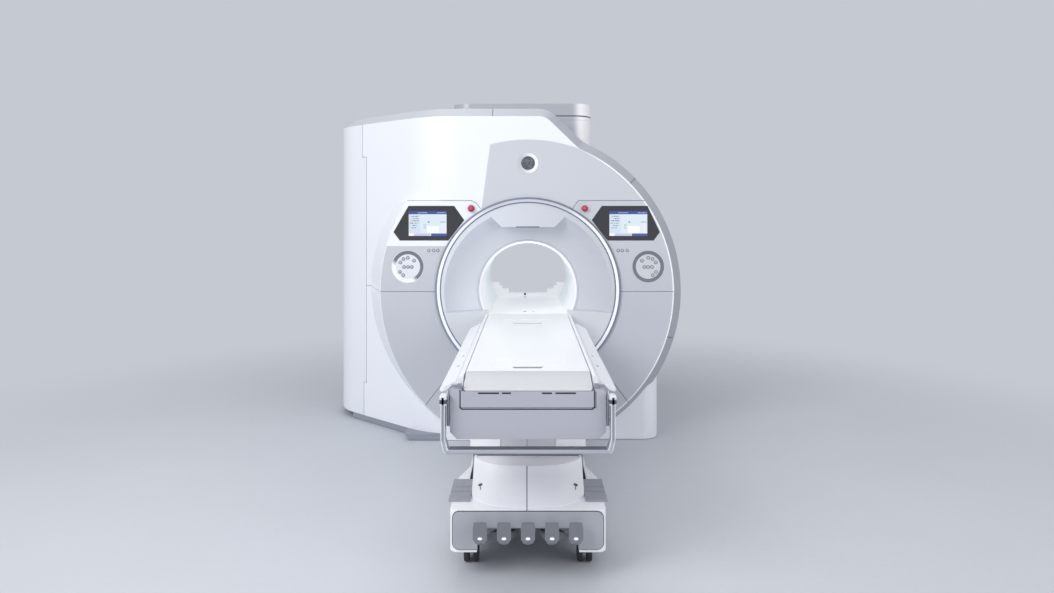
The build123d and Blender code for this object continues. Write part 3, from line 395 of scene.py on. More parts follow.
def buttonPaintedHighlight(side):
    # red dome, paler in the middle: a painted highlight a little up and to the left, and painted shade darker towards
    # its edge
    def colour(tree):
        vector, x, y, z = objectPlace(tree)
        away = distanceNode(tree, x, z, side * stop["x"] + stop["paintedHighlightX"], stop["z"] + stop["paintedHighlightZ"])
        return mixNode(tree, rangeNode(tree, away, stop["paintedHighlightRadius"], stop["deepRadius"], smooth=True),
                       stop["pale"], stop["deep"])
    return colour


slope = {"low": 0.314, "soft": 0.0005, "even": 0.4, "high": 0.4395, "share": 0.6, "edge": (248, 249, 251),
         "field": (232, 233, 239)}


def basePaintedLightAndShade(tree):
    # painted light and shade: a white edge round the base, with a greyer field on the slope
    z = objectPlace(tree)[3]
    field = times(tree, stepNode(tree, z, slope["low"], slope["soft"]),
                  rangeNode(tree, z, slope["high"], slope["even"], slope["share"], 1.0))
    return mixNode(tree, field, slope["edge"], slope["field"])


tube = {"front": (158, 161, 173), "corner": (238, 240, 246), "side": (112, 115, 126),
        "bar": (190, 193, 204), "barHigh": 0.68, "barSoft": 0.02, "barTopPaintedReflection": (98, 101, 112),
        "topField": (-0.335, 0.335, 0.6378, 0.645), "topSoft": 0.0004, "cornerFrom": 0.35, "cornerTo": 0.6,
        "sideFrom": 0.8, "sideTo": 0.93}


def tubePaintedReflections(tree):
    # drawn metal with painted reflections: grey front, bright corners as a painted highlight, dark sides as painted
    # shade; the lower bar is paler with a dark upper side, a painted reflection
    vector, x, y, z = objectPlace(tree)
    aside = mathNode(tree, "ABSOLUTE", facingParts(tree)[0])
    low = rangeNode(tree, z, tube["barHigh"], tube["barHigh"] - tube["barSoft"])
    front = mixNode(tree, low, tube["front"], tube["bar"])
    bright = rangeNode(tree, aside, tube["cornerFrom"], tube["cornerTo"], smooth=True)
    dark = rangeNode(tree, aside, tube["sideFrom"], tube["sideTo"], smooth=True)
    shown = mixNode(tree, dark, mixNode(tree, bright, front, tube["corner"]), tube["side"])
    return mixNode(tree, fieldNode(tree, x, z, *tube["topField"], tube["topSoft"]), shown, tube["barTopPaintedReflection"])


dial = {"x": 0.867, "z": 1.257, "pad": 0.087, "coneSoft": 0.003, "coneEven": 0.113, "coneEnd": 0.1155,
        "lowX": -0.62, "lowZ": -0.78, "lowFrom": 0.015, "lowTo": 0.06, "asideTo": -0.1, "reach": 0.5,
        "cone": (116, 119, 128), "paintedCrescent": (244, 246, 250), "padLeft": (226, 227, 236),
        "padRight": (206, 209, 214)}


def dialColour(tree):
    # pale pad, lighter on the left dial than on the right as painted light, dark cone round it, and a painted
    # highlight, white and curved, at the lower left of the left dial
    vector, x, y, z = objectPlace(tree)
    reach = distanceNode(tree, mathNode(tree, "ABSOLUTE", x), z, dial["x"], dial["z"])
    cone = times(tree, rangeNode(tree, reach, dial["pad"], dial["pad"] + dial["coneSoft"], smooth=True),
                 rangeNode(tree, reach, dial["coneEnd"], dial["coneEven"], smooth=True))
    lower = mathNode(tree, "ADD", times(tree, minus(tree, x, -dial["x"]), dial["lowX"]),
                     times(tree, minus(tree, z, dial["z"]), dial["lowZ"]))
    paintedCrescent = times(tree, rangeNode(tree, lower, dial["lowFrom"], dial["lowTo"], smooth=True),
                     rangeNode(tree, x, 0.0, dial["asideTo"]))
    pad = mixNode(tree, rangeNode(tree, x, -dial["reach"], dial["reach"]), dial["padLeft"], dial["padRight"])
    return mixNode(tree, cone, pad, mixNode(tree, paintedCrescent, dial["cone"], dial["paintedCrescent"]))


# colours that change across a piece
# painted shade on the turret's front, and a painted highlight towards its right corner
turretPaintedShade = endTint((172, 176, 184), (254, 254, 255), 0.34, 0.44)
# painted shade on the cradle's foot end
cradlePaintedShade = endTint((208, 209, 214), (244, 245, 248), -2.876, -2.872, axis=1)
# the bezel darker towards the right is painted shade
bezelPaintedShade = endTint((150, 156, 176), (140, 144, 160), -0.5, 0.5)
ringTint = endTint((190, 193, 201), (240, 243, 252), 0.22, 0.5, mirrored=True)
thirdsTint = endTint((214, 216, 222), (254, 254, 255), 0.1345, 0.1355, mirrored=True, smooth=False)

# name, colour, roughness, coat
# the front's grey field and rim line are painted shade and a painted highlight
addSkin("FaceWhitePaintedShade", faceColourWithPaintedShade, 0.4, 0.12, toneChange=0.006, roughnessChange=0.03)
addSkin("WallWhite", (234, 237, 244), 0.42, 0.12, toneChange=0.006, roughnessChange=0.03)
# the band darker towards the right is painted shade
addSkin("BandGreyPaintedShade", endTint((190, 193, 200), (169, 172, 181), -0.9, 0.45), 0.4, 0.08)
addSkin("SkirtGrey", (150, 154, 166), 0.5)
# the funnel darker towards the right: painted shade
addSkin("FunnelGreyPaintedShade", endTint(funnel["left"], funnel["right"], -funnel["reach"], funnel["reach"]), 0.4, 0.1)
addSkin("ShelfGrey", (214, 217, 223), 0.4, 0.1)
# the tube's glow is painted light
addSkin("TubeWhitePaintedLight", lipBase, 0.35, 0.2, glow=paintedBoreLight, glowLevel=0.42)
# the bridge and the pedal dots glow: painted light
addSkin("BridgeWhitePaintedGlow", (252, 249, 249), 0.35, 0.2, glow=(252, 246, 246), glowLevel=0.15)
addSkin("CradleWhite", cradlePaintedShade, 0.35, 0.25)
addSkin("TurretWhite", turretPaintedShade, 0.34, 0.2)
addSkin("LineGrey", (126, 129, 140), 0.6)
# the end cap's white darkened to painted shade
addSkin("CapWhitePaintedShade", (182, 183, 194), 0.42, 0.1)
addSkin("BoardGrey", (238, 240, 245), 0.42, 0.1)
addSkin("FrameWhite", (240, 241, 246), 0.42, 0.1)
addSkin("SleeveWhite", thirdsTint, 0.42, 0.1)
# the base's white edge and greyer slope are painted light and shade
addSkin("BaseWhite", basePaintedLightAndShade, 0.36, 0.2)
addSkin("PanelGrey", (172, 176, 184), 0.45)
addSkin("PadGrey", (157, 160, 169), 0.75, toneChange=0.05, peelScale=900.0, peelDepth=0.35, dust=0.15)
addSkin("PedalGrey", (120, 123, 132), 0.5)
# the handle's bright and dark stripes are painted reflections
addSkin("SatinMetal", tubePaintedReflections, 0.3, toneChange=0.01, metallic=0.45, roughnessChange=0.02, peelDepth=0.0)
addSkin("BezelMetal", bezelPaintedShade, 0.3, metallic=0.5)
addSkin("LightRing", ringTint, 0.3, glow=ringTint, glowLevel=0.16)
addSkin("DisplayBlack", (54, 55, 60), 0.22, 0.4)
addSkin("ControlGrey", (206, 208, 215), 0.4)
addSkin("DialFace", dialColour, 0.4)
addSkin("KeyDark", (128, 131, 140), 0.5)
addSkin("KeyPale", (196, 199, 206), 0.45)
# the paler spot on the stop buttons is a painted highlight
addSkin("StopRedLeft", buttonPaintedHighlight(-1), 0.25, 0.4)
addSkin("StopRedRight", buttonPaintedHighlight(1), 0.25, 0.4)
addSkin("SteelGrey", (150, 152, 158), 0.45, metallic=0.2)
addSkin("VesselGrey", (190, 194, 200), 0.45)
addSkin("CoilBrown", (120, 112, 100), 0.6)
addSkin("CasterGrey", (196, 198, 204), 0.45)
addSkin("WheelBlack", (44, 45, 50), 0.6, peelDepth=0.15)
addSkin("SeamDark", (84, 86, 94), 0.6)
print("materials ready:", len(finish))

# tools for the pieces
tool = {"mergeSolid": 0.00002, "merge": 0.00001, "flatAngle": 0.6, "smoothAngle": 35, "edgeAngle": 40,
        "solidEdgeAngle": 30, "ringSteps": 48, "ringEdge": 0.0006, "facing": 0.9, "along": 0.001}


def activate(piece):
    bpy.ops.object.select_all(action="DESELECT")
    piece.select_set(True)
    bpy.context.view_layer.objects.active = piece


def editAll(piece):
    # edit mode with everything selected
    activate(piece)
    bpy.ops.object.mode_set(mode="EDIT")
    bpy.ops.mesh.select_all(action="SELECT")


def leaveEdit():
    bpy.ops.object.mode_set(mode="OBJECT")


def applyModifier(piece, kind, **settings):
    activate(piece)
    bpy.ops.object.modifier_add(type=kind)
    modifier = piece.modifiers[-1]
    for label, value in settings.items():
        setattr(modifier, label, value)
    bpy.ops.object.modifier_apply(modifier=modifier.name)


def bevelled(piece, width, segments=2, angle=tool["edgeAngle"]):
    applyModifier(piece, "BEVEL", width=width, segments=segments, limit_method="ANGLE",
                  angle_limit=math.radians(angle), harden_normals=False)
    return piece


def smoothShade(piece):
    # smooth by angle, with the normals drawn to the large faces
    activate(piece)
    bpy.ops.object.shade_smooth_by_angle(angle=math.radians(tool["smoothAngle"]))
    applyModifier(piece, "WEIGHTED_NORMAL", keep_sharp=True)


def place(piece, material, node):
    # gives a piece its material, and the body of the solid that it stands for
    piece.data.materials.clear()
    piece.data.materials.append(finish[material])
    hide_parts(node)
    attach(piece, bodyOfNode[node])
    return piece


def finished(piece, material, node, edge=0.0, segments=2, angle=tool["edgeAngle"]):
    # the last steps of a piece: soft edges, normals, material, body
    if edge:
        bevelled(piece, edge, segments, angle)
    smoothShade(piece)
    return place(piece, material, node)


def refined(node, name, material, width):
    # the solid's own form: doubles merged, grooves cut, flat triangles made one face, edges softened
    piece = bpy.data.objects.new(name, frame["nodes"][node].data.copy())
    bpy.context.scene.collection.objects.link(piece)
    piece.data.materials.clear()
    editAll(piece)
    bpy.ops.mesh.remove_doubles(threshold=tool["mergeSolid"])
    leaveEdit()
    if name in grooves:
        grooves[name](piece)
    editAll(piece)
    bpy.ops.mesh.dissolve_limited(angle_limit=math.radians(tool["flatAngle"]))
    leaveEdit()
    return finished(piece, material, node, width, angle=tool["solidEdgeAngle"])


# modelling by hand: a primitive is placed, then shaped in edit mode
def openSelection(piece, kind):
    # everything deselected, for faces, edges or corners to be selected by normal or place
    activate(piece)
    bpy.ops.object.mode_set(mode="EDIT")
    bpy.ops.mesh.select_mode(type=kind)
    bpy.ops.mesh.select_all(action="DESELECT")
    leaveEdit()


def selectFaces(piece, axis, way=0, facing=tool["facing"]):
    # leaves edit mode on, with only the faces selected that look along an axis, one way (-1, 1) or both (0)
    openSelection(piece, "FACE")
    for polygon in piece.data.polygons:
        along = polygon.normal[axis]
        polygon.select = (along * way if way else abs(along)) > facing
    bpy.ops.object.mode_set(mode="EDIT")


def selectEdges(piece, test):
    # leaves edit mode on, with only the edges selected whose two ends pass the test
    openSelection(piece, "EDGE")
    for edge in piece.data.edges:
        edge.select = test(*[piece.data.vertices[index].co for index in edge.vertices])
    bpy.ops.object.mode_set(mode="EDIT")


def settle(piece):
    # puts the piece's place into its mesh, with its normals outward
    leaveEdit()
    activate(piece)
    bpy.ops.object.transform_apply(location=True, rotation=True, scale=True)
    editAll(piece)
    bpy.ops.mesh.remove_doubles(threshold=tool["merge"])
    bpy.ops.mesh.normals_make_consistent(inside=False)
    leaveEdit()


def moved(piece, turn, location=(0, 0, 0)):
    # turns a piece by degrees round the origin and moves it, both in its mesh
    piece.rotation_euler = [math.radians(angle) for angle in turn]
    piece.location = location
    settle(piece)


def addBlock(name, xs, ys, zs):
    # cube primitive stretched to its size, with its place in its mesh
    spans = [(min(pair), max(pair)) for pair in (xs, ys, zs)]
    bpy.ops.mesh.primitive_cube_add(size=1, location=[(a + b) / 2 for a, b in spans])
    piece = bpy.context.object
    piece.name = name
    piece.scale = [b - a for a, b in spans]
    settle(piece)
    return piece


def addDisc(name, x, y, z, radius, deep, sides, lies=False):
    # cylinder primitive whose end looks to the front, from y back to y + deep, or one that lies flat
    bpy.ops.mesh.primitive_cylinder_add(vertices=sides, radius=radius, depth=deep,
                                        location=(x, y if lies else y + deep / 2, z),
                                        rotation=(0 if lies else math.radians(90), 0, 0))
    piece = bpy.context.object
    piece.name = name
    settle(piece)
    return piece


def flattened(piece, share, z=0.0):
    # makes an oval of a disc
    editAll(piece)
    bpy.ops.transform.resize(value=(1, 1, share), center_override=(0, 0, z))
    leaveEdit()


def dished(piece, edge, rim, deep, segments=2):
    # soft edges and a rim round the front face, its middle pushed in, or out with a negative depth
    bevelled(piece, edge, segments)
    selectFaces(piece, 1, -1)
    bpy.ops.mesh.inset(thickness=rim)
    bpy.ops.transform.translate(value=(0, deep, 0))
    leaveEdit()


def roundCorners(piece, axis, radius, segments):
    # rounds the four corners of a block, seen along an axis
    selectEdges(piece, lambda first, second: abs(first[axis] - second[axis]) > tool["along"])
    bpy.ops.mesh.bevel(offset=radius, segments=segments)
    leaveEdit()


def hollowed(piece, axis, wall):
    # opens a block along an axis, with a wall left all round
    selectFaces(piece, axis)
    bpy.ops.mesh.inset(thickness=wall)
    bpy.ops.mesh.bridge_edge_loops()
    settle(piece)


def spunRing(name, centre, inner, outer, front, back, lean=0.0):
    # a bevelled strip spun round an axis along the bore; lean sets the inner edge back
    x, z = centre
    middleX, middleY = x + (inner + outer) / 2, (front + back) / 2
    bpy.ops.mesh.primitive_plane_add(size=1, location=(middleX, middleY, z))
    piece = bpy.context.object
    piece.name = name
    piece.scale = (outer - inner, back - front, 1)
    bpy.ops.object.transform_apply(location=True, rotation=True, scale=True)
    openSelection(piece, "VERT")
    for corner in piece.data.vertices:
        corner.select = corner.co.x < middleX and corner.co.y < middleY
    bpy.ops.object.mode_set(mode="EDIT")
    bpy.ops.transform.translate(value=(0, lean, 0))
    bpy.ops.mesh.select_all(action="SELECT")
    bpy.ops.mesh.bevel(offset=tool["ringEdge"], segments=2, affect="VERTICES")
    bpy.ops.mesh.select_all(action="SELECT")
    bpy.ops.mesh.delete(type="ONLY_FACE")    # the profile's own face would stay inside the ring
    bpy.ops.mesh.select_all(action="SELECT")
    bpy.ops.mesh.spin(steps=tool["ringSteps"], angle=math.tau, center=(x, 0, z), axis=(0, 1, 0))
    settle(piece)
    return piece


def discard(model):
    activate(model)
    bpy.ops.object.delete()


def carve(piece, cutter):
    # cuts a groove or slot with a block that is then thrown away
    applyModifier(piece, "BOOLEAN", operation="DIFFERENCE", object=cutter, solver="EXACT")
    discard(cutter)


def joined(parts, name):
    # makes one piece of several
    activate(parts[0])
    for part in parts:
        part.select_set(True)
    if len(parts) > 1:
        bpy.ops.object.join()
    parts[0].name = name
    return parts[0]


def copies(model, places, name):
    # copies of one model, each with its own mesh, joined to one piece
    made = []
    for offset in places:
        activate(model)
        bpy.ops.object.duplicate(linked=False)
        twin = bpy.context.object
        twin.location = offset
        bpy.ops.object.transform_apply(location=True, rotation=True, scale=True)
        made.append(twin)
    return joined(made, name)


def addBar(name, start, end, wide, ys):
    # straight bar in the face from one (x, z) to another, with its depth along y
    bar = addBlock(name, (-wide / 2, math.dist(start, end) + wide / 2), ys, (-wide / 2, wide / 2))
    moved(bar, (0, -math.degrees(math.atan2(end[1] - start[1], end[0] - start[0])), 0), (start[0], 0, start[1]))
    return bar


groove = {"reach": 0.01, "clear": 0.0005, "above": 0.0012, "below": 0.0008, "edge": 0.0003}


def drawnLine(piece, name, path, cut, material, node):
    # a groove along a path on the face, with a dark strip on its floor; cut: width, the face's y, depth
    wide, front, deep = cut
    strips, floorY = [], front + deep
    for start, end in zip(path, path[1:]):
        carve(piece, addBar("Cutter", start, end, wide, (front - groove["reach"], floorY)))
        strip = addBar(name, start, end, wide - groove["clear"], (floorY - groove["above"], floorY + groove["below"]))
        strips.append(bevelled(strip, groove["edge"], 1))
    return place(joined(strips, name), material, node)


# lines and slots that are cut into the solids' own form
panelLine = {"Left": ((-0.8688, 1.7335), (-0.4074, 1.7335), (-0.3749, 1.7155), (-0.342, 1.676)),
             "Right": ((0.8436, 1.7335), (0.3677, 1.7335), (0.35, 1.718), (0.323, 1.676)),
             "cut": (0.0045, -0.936, 0.003)}


def cutFrontLines(piece):
    for side in ("Left", "Right"):
        drawnLine(piece, "PanelLine" + side, panelLine[side], panelLine["cut"], "LineGrey", "front_cover_upper")


hood = {"path": ((-0.083, 1.5425), (0.0795, 1.5425)), "cut": (0.007, -0.936, 0.006)}


def cutHood(piece):
    drawnLine(piece, "HoodSlot", hood["path"], hood["cut"], "SeamDark", "bore_surround")


capLines = {"jointZ": 0.8677, "dashCut": (0.0075, -3.05, 0.004), "left": -0.2903, "right": 0.2839,
            "dashes": ((-0.2135, -0.1238), (-0.111, -0.0726), (0.0598, 0.1025), (0.1174, 0.205)),
            "panelZ": 0.7994, "panelHigh": 0.8797, "corner": 0.008, "panelCut": (0.0052, -3.05, 0.0025)}


def cutCap(piece):
    reach, z = capLines["dashCut"][0] / 2, capLines["jointZ"]
    for number, (x0, x1) in enumerate(capLines["dashes"], 1):
        drawnLine(piece, "CapDash%d" % number, ((x0 + reach, z), (x1 - reach, z)), capLines["dashCut"],
                  "WheelBlack", "end_cap")
    low, high, corner = capLines["panelZ"], capLines["panelHigh"], capLines["corner"]
    left, right = capLines["left"], capLines["right"]
    path = ((left, high), (left, low + corner), (left + corner, low), (right - corner, low), (right, low + corner),
            (right, high))
    drawnLine(piece, "CapPanelLine", path, capLines["panelCut"], "WheelBlack", "end_cap")


sleeveLine = {"xs": (-0.005, -0.135, 0.135), "low": 0.47, "high": 0.84, "cut": (0.003, -2.55, 0.002)}


def cutSleeve(piece):
    for number, x in enumerate(sleeveLine["xs"], 1):
        drawnLine(piece, "SleeveLine%d" % number, ((x, sleeveLine["low"]), (x, sleeveLine["high"])),
                  sleeveLine["cut"], "LineGrey", "lift_sleeve")


grooves = {"FrontUpper": cutFrontLines, "BoreSurround": cutHood, "EndCap": cutCap, "LiftSleeve": cutSleeve}

# pieces that keep the form of their solid: material, width of the softened edge, nodes and names
coverPieces = (
    ("FaceWhitePaintedShade", 0.0025, {"front_cover_upper": "FrontUpper", "front_cover_left": "FrontLeft",
        "front_cover_right": "FrontRight", "front_cover_chin": "FrontChin"}),
    ("WallWhite", 0.002, {"side_cover_left": "SideLeft"}),
    ("SkirtGrey", 0.001, {"floor_skirt_left": "SkirtLeft"}),
    ("BandGreyPaintedShade", 0.002, {"roof_cover_left": "RoofLeft", "roof_cover_right": "RoofRight",
        "side_cover_right": "SideRight", "side_cover_lower": "SideLower"}),
    ("WallWhite", 0.002, {"plinth_right": "PlinthRight"}),
    ("TurretWhite", 0.003, {"turret_cover": "TurretCover", "turret_cap": "TurretCap"}),
    ("WallWhite", 0.002, {"rear_cover": "RearCover"}),
    ("FunnelGreyPaintedShade", 0.002, {"bore_surround": "BoreSurround"}),
    ("ShelfGrey", 0.002, {"bore_shelf": "BoreShelf"}),
    ("TubeWhitePaintedLight", 0.002, {"bore_tube": "BoreTube"}),
    ("BridgeWhitePaintedGlow", 0.002, {"patient_bridge": "Bridge", "bridge_end": "BridgeEnd", "bridge_apron": "Apron"}),
    ("BezelMetal", 0.001, {"halo_bezel": "HaloBezel"}),
    ("LightRing", 0.001, {"halo_light": "HaloLight"}),
    ("DisplayBlack", 0.0015, {"display_left": "DisplayLeft", "display_right": "DisplayRight"}),
    ("DialFace", 0.001, {"dials": "Dials"}),
    ("ControlGrey", 0.001, {"keypads": "Keypads"}),
    ("StopRedLeft", 0.004, {"emergency_button_left": "StopLeft"}),
    ("StopRedRight", 0.004, {"emergency_button_right": "StopRight"}),
    ("CradleWhite", 0.002, {"cradle": "Cradle"}),
    ("FrameWhite", 0.002, {"table_frame": "TableFrame"}),
    ("CapWhitePaintedShade", 0.003, {"end_cap": "EndCap"}),
    ("SatinMetal", 0.001, {"handle_brackets": "HandleBrackets"}),
    ("SatinMetal", 0.003, {"push_handle": "PushHandle"}),
    ("SleeveWhite", 0.004, {"lift_sleeve": "LiftSleeve"}),
    ("SteelGrey", 0.001, {"lift_column": "LiftColumn", "base_frame": "BaseFrame"}),
    ("BaseWhite", 0.003, {"base_cover": "BaseCover"}),
    ("PanelGrey", 0.002, {"pedal_panel": "PedalPanel"}),
    ("PadGrey", 0.001, {"step_pads": "StepPads"}),
    ("VesselGrey", 0.0, {"magnet_cryostat": "Cryostat"}),
    ("CoilBrown", 0.0, {"gradient_coil": "GradientCoil"}),
)
for material, width, names in coverPieces:
    for node, name in names.items():
        refined(node, name, material, width)
softEdge = {"board": 0.002, "pedal": 0.002, "fork": 0.001, "wheel": 0.003}
for side in ("left", "right"):
    for end in ("foot", "head"):
        refined("arm_board_%s_%s" % (side, end), "ArmBoard" + side.title() + end.title(), "BoardGrey",
                softEdge["board"])
for number in range(1, 6):
    refined("pedal_%d" % number, "Pedal%d" % number, "PedalGrey", softEdge["pedal"])
for corner in ("foot_left", "foot_right", "head_left", "head_right"):
    label = corner.title().replace("_", "")
    refined("caster_fork_" + corner, "Fork" + label, "CasterGrey", softEdge["fork"])
    refined("caster_wheel_" + corner, "Wheel" + label, "WheelBlack", softEdge["wheel"])
print("covers, table and casters ready")


# displays: a glass screen in each frame, with plain fields of colour
bothSides = ((-1, "Left"), (1, "Right"))
screen = {"outer": 0.8605, "inner": 0.5865, "low": 1.478, "high": 1.657, "front": -0.9369, "back": -0.9352,
          "clear": 0.0008, "dish": (0.0006, 0.002, 0.0001), "glowLevel": 1.0, "pixelsWide": 37.7,
          "pixelsHigh": 25.0, "soft": 0.0012, "ground": (222, 234, 246), "glass": (16, 17, 22),
          "letterScale": 210.0, "letterHigh": 0.35, "letterFrom": 0.47, "letterTo": 0.5, "trim": 0.003,
          "trimFront": -0.9374, "trimBack": -0.9366, "trimWide": 0.0035, "trimEdge": 0.0002}
screenFields = (    # left, right, top and bottom in pixels of the screen, colour, broken like writing
    (0, 37.7, 0, 3.2, (66, 84, 160), False), (8.6, 18.5, 0.9, 2.2, (176, 186, 228), True),
    (28, 37, 0.9, 2.2, (176, 186, 228), True), (0.4, 11.4, 3.4, 22, (212, 226, 240), False),
    (2, 9.6, 4.8, 5.7, (58, 70, 96), True), (4, 10, 7, 7.9, (58, 70, 96), True),
    (1, 10.6, 9.2, 10.1, (48, 60, 86), True), (1, 9.4, 11.6, 12.5, (48, 60, 86), True),
    (3.4, 8.4, 14, 14.9, (58, 70, 96), True), (2, 7.6, 16.4, 17.3, (58, 70, 96), True),
    (14.6, 17.2, 12.8, 18, (186, 208, 204), True), (18.2, 30.4, 14.8, 22, (250, 252, 254), False),
    (19, 20.7, 10.2, 11.6, (88, 110, 142), False), (31.4, 36.6, 10.4, 11.4, (84, 100, 136), True),
    (31.6, 37.7, 12.6, 22, (234, 235, 250), False), (0, 5.2, 22.4, 25, (250, 250, 252), False),
    (5.2, 21.6, 22.4, 25, (198, 204, 236), False), (22.2, 37.7, 22.4, 25, (74, 92, 168), False),
)


def screenColour(left):
    def colour(tree):
        vector, x, y, z = objectPlace(tree)
        wide = (screen["outer"] - screen["inner"]) / screen["pixelsWide"]
        high = (screen["high"] - screen["low"]) / screen["pixelsHigh"]
        stretched = addNode(tree, "Mapping", {"Vector": vector, "Scale": (1.0, 0.0, screen["letterHigh"])})[0]
        letters = rangeNode(tree, noiseNode(tree, stretched, screen["letterScale"], 1.0), screen["letterFrom"],
                            screen["letterTo"])
        shown = screen["ground"]
        for a, b, top, bottom, value, broken in screenFields:
            mask = fieldNode(tree, x, z, left + a * wide, left + b * wide, screen["high"] - bottom * high,
                             screen["high"] - top * high, screen["soft"])
            if broken:
                mask = times(tree, mask, letters)
            shown = mixNode(tree, mask, shown, value)
        return shown
    return colour


for side, name in bothSides:
    left, right = sorted((side * screen["outer"], side * screen["inner"]))
    low, high, clear, reach = screen["low"], screen["high"], screen["clear"], screen["trim"]
    node = "display_" + name.lower()
    addSkin("Screen" + name, screen["glass"], 0.12, toneChange=0.0, peelDepth=0.0, roughnessChange=0.03,
            glow=screenColour(left), glowLevel=screen["glowLevel"], dust=0.0)
    glass = addBlock("Screen" + name, (left + clear, right - clear), (screen["front"], screen["back"]),
                     (low + clear, high - clear))
    dished(glass, *screen["dish"])
    finished(glass, "Screen" + name, node)
    trim = addBlock("ScreenTrim" + name, (left - reach, right + reach), (screen["trimFront"], screen["trimBack"]),
                    (low - reach, high + reach))
    hollowed(trim, 1, screen["trimWide"])
    finished(trim, "DisplayBlack", node, screen["trimEdge"], 1)
print("screens ready")

# small round keys: nine on each dial, three in each row
# a disc is its radius, thickness and sides; a dish its soft edge, rim and depth
keys = {"ring": (0.0128, 0.0026, 28), "ringDish": (0.0006, 0.0036, 0.0008), "cap": (0.008, 0.0018, 24),
        "capDish": (0.0007, 0.0025, -0.0003), "capFront": -0.0006, "sink": -0.0023, "dialFront": -0.931,
        "pixel": 0.00721, "rowXs": (-0.715, -0.68, -0.65), "rowZ": 1.3738, "rowFront": -0.9356}
dialKeys = ((-7.6, -4.2), (-4.3, -7.7), (-0.1, -8.9), (6.2, -6.0), (-3.8, 0.3), (0.1, 0.3), (3.9, 0.3),
            (-7.9, 5.3), (-4.6, 8.6))
keyRing = addDisc("KeyRingModel", 0, 0, 0, *keys["ring"])
dished(keyRing, *keys["ringDish"])
smoothShade(keyRing)
keyCap = addDisc("KeyCapModel", 0, keys["capFront"], 0, *keys["cap"])
dished(keyCap, *keys["capDish"])
smoothShade(keyCap)
for side, name in bothSides:
    dialSpots = [(side * (dial["x"] - across * keys["pixel"]), keys["dialFront"] + keys["sink"],
                  dial["z"] - down * keys["pixel"]) for across, down in dialKeys]
    rowSpots = [(-side * x, keys["rowFront"] + keys["sink"], keys["rowZ"]) for x in keys["rowXs"]]
    for spots, group, node in ((dialSpots, "Dial", "dials"), (rowSpots, "Row", "keypads")):
        place(copies(keyRing, spots, group + "KeyRings" + name), "KeyDark", node)
        place(copies(keyCap, spots, group + "KeyCaps" + name), "KeyPale", node)
discard(keyRing)
discard(keyCap)
print("dials and keys ready")

# bare round plate over the bore, in a dished ring; a ring is its inner and outer radius, front, back, lean
badge = {"z": 2.004, "front": -0.9375, "disc": (0.049, 0.0047, 64), "dish": (0.0012, 0.006, 0.0008, 3),
         "ring": (0.05, 0.0735, -0.9362, -0.9328, 0.0026), "castScale": 60.0, "castFrom": 0.35, "castTo": 0.65,
         "castDark": (84, 88, 95), "castPale": (122, 126, 134)}


def plateColour(tree):
    # cast plate with a mottled dark tone
    cast = noiseNode(tree, objectPlace(tree)[0], badge["castScale"], 4.0)
    return mixNode(tree, rangeNode(tree, cast, badge["castFrom"], badge["castTo"]), badge["castDark"],
                   badge["castPale"])


# the dish lighter on the right and greyer on the left: painted highlight and painted shade
addSkin("DishPaintedShading", endTint((196, 199, 206), (253, 253, 255), -0.07, 0.06), 0.3, 0.3)
addSkin("PlateDark", plateColour, 0.38, metallic=0.35, peelScale=500.0, peelDepth=0.2)
plate = addDisc("BadgePlate", 0, badge["front"], badge["z"], *badge["disc"])
dished(plate, *badge["dish"])
finished(plate, "PlateDark", "front_cover_upper")
dish = spunRing("BadgeDish", (0, badge["z"]), *badge["ring"])
finished(dish, "DishPaintedShading", "front_cover_upper")

# pale collars round the red buttons
collar = {"ring": (0.0228, 0.0285, -0.9376, -0.935)}
for side, name in bothSides:
    band = spunRing("StopCollar" + name, (side * stop["x"], stop["z"]), *collar["ring"])
    finished(band, "DishPaintedShading" if side < 0 else "ControlGrey", "front_cover_upper")
print("badge plate and button collars ready")

# pale oval dot on each pedal, with a painted glow
pedal = {"pitch": 0.105, "front": -2.9862, "z": 0.2172, "disc": (0.0105, 0.003, 24), "share": 0.0062 / 0.0105,
         "dish": (0.0006, 0.0015, -0.0003)}
for number in range(1, 6):
    dot = addDisc("PedalDot%d" % number, (number - 3) * pedal["pitch"], pedal["front"], pedal["z"], *pedal["disc"])
    flattened(dot, pedal["share"], pedal["z"])
    dished(dot, *pedal["dish"])
    finished(dot, "BridgeWhitePaintedGlow", "pedal_%d" % number)

# release catches on the base, an oval knob over a short bar
catch = {"x": 0.2233, "y": -2.7406, "z": 0.3605, "lean": 54, "aside": 38, "upright": 35.8, "front": -0.004,
         "disc": (0.0105, 0.006, 24), "share": 0.6, "dish": (0.001, 0.003, 0.0008),
         "bar": ((-0.002, 0.002), (-0.002, 0.002), (-0.027, -0.004)), "barEdge": 0.0008}


def leanedCatch(piece, side):
    # turned upright in its own plane, then leaned back on the slope of the base
    moved(piece, (0, side * catch["upright"], 0))
    moved(piece, (-catch["lean"], 0, side * catch["aside"]), (side * catch["x"], catch["y"], catch["z"]))


for side, name in bothSides:
    knob = addDisc("Catch" + name, 0, catch["front"], 0, *catch["disc"])
    flattened(knob, catch["share"])
    dished(knob, *catch["dish"])
    leanedCatch(knob, side)
    finished(knob, "SeamDark", "base_cover")
    stem = addBlock("CatchBar" + name, *catch["bar"])
    bevelled(stem, catch["barEdge"])
    leanedCatch(stem, side)
    finished(stem, "KeyDark", "base_cover")
print("pedals and catches ready")

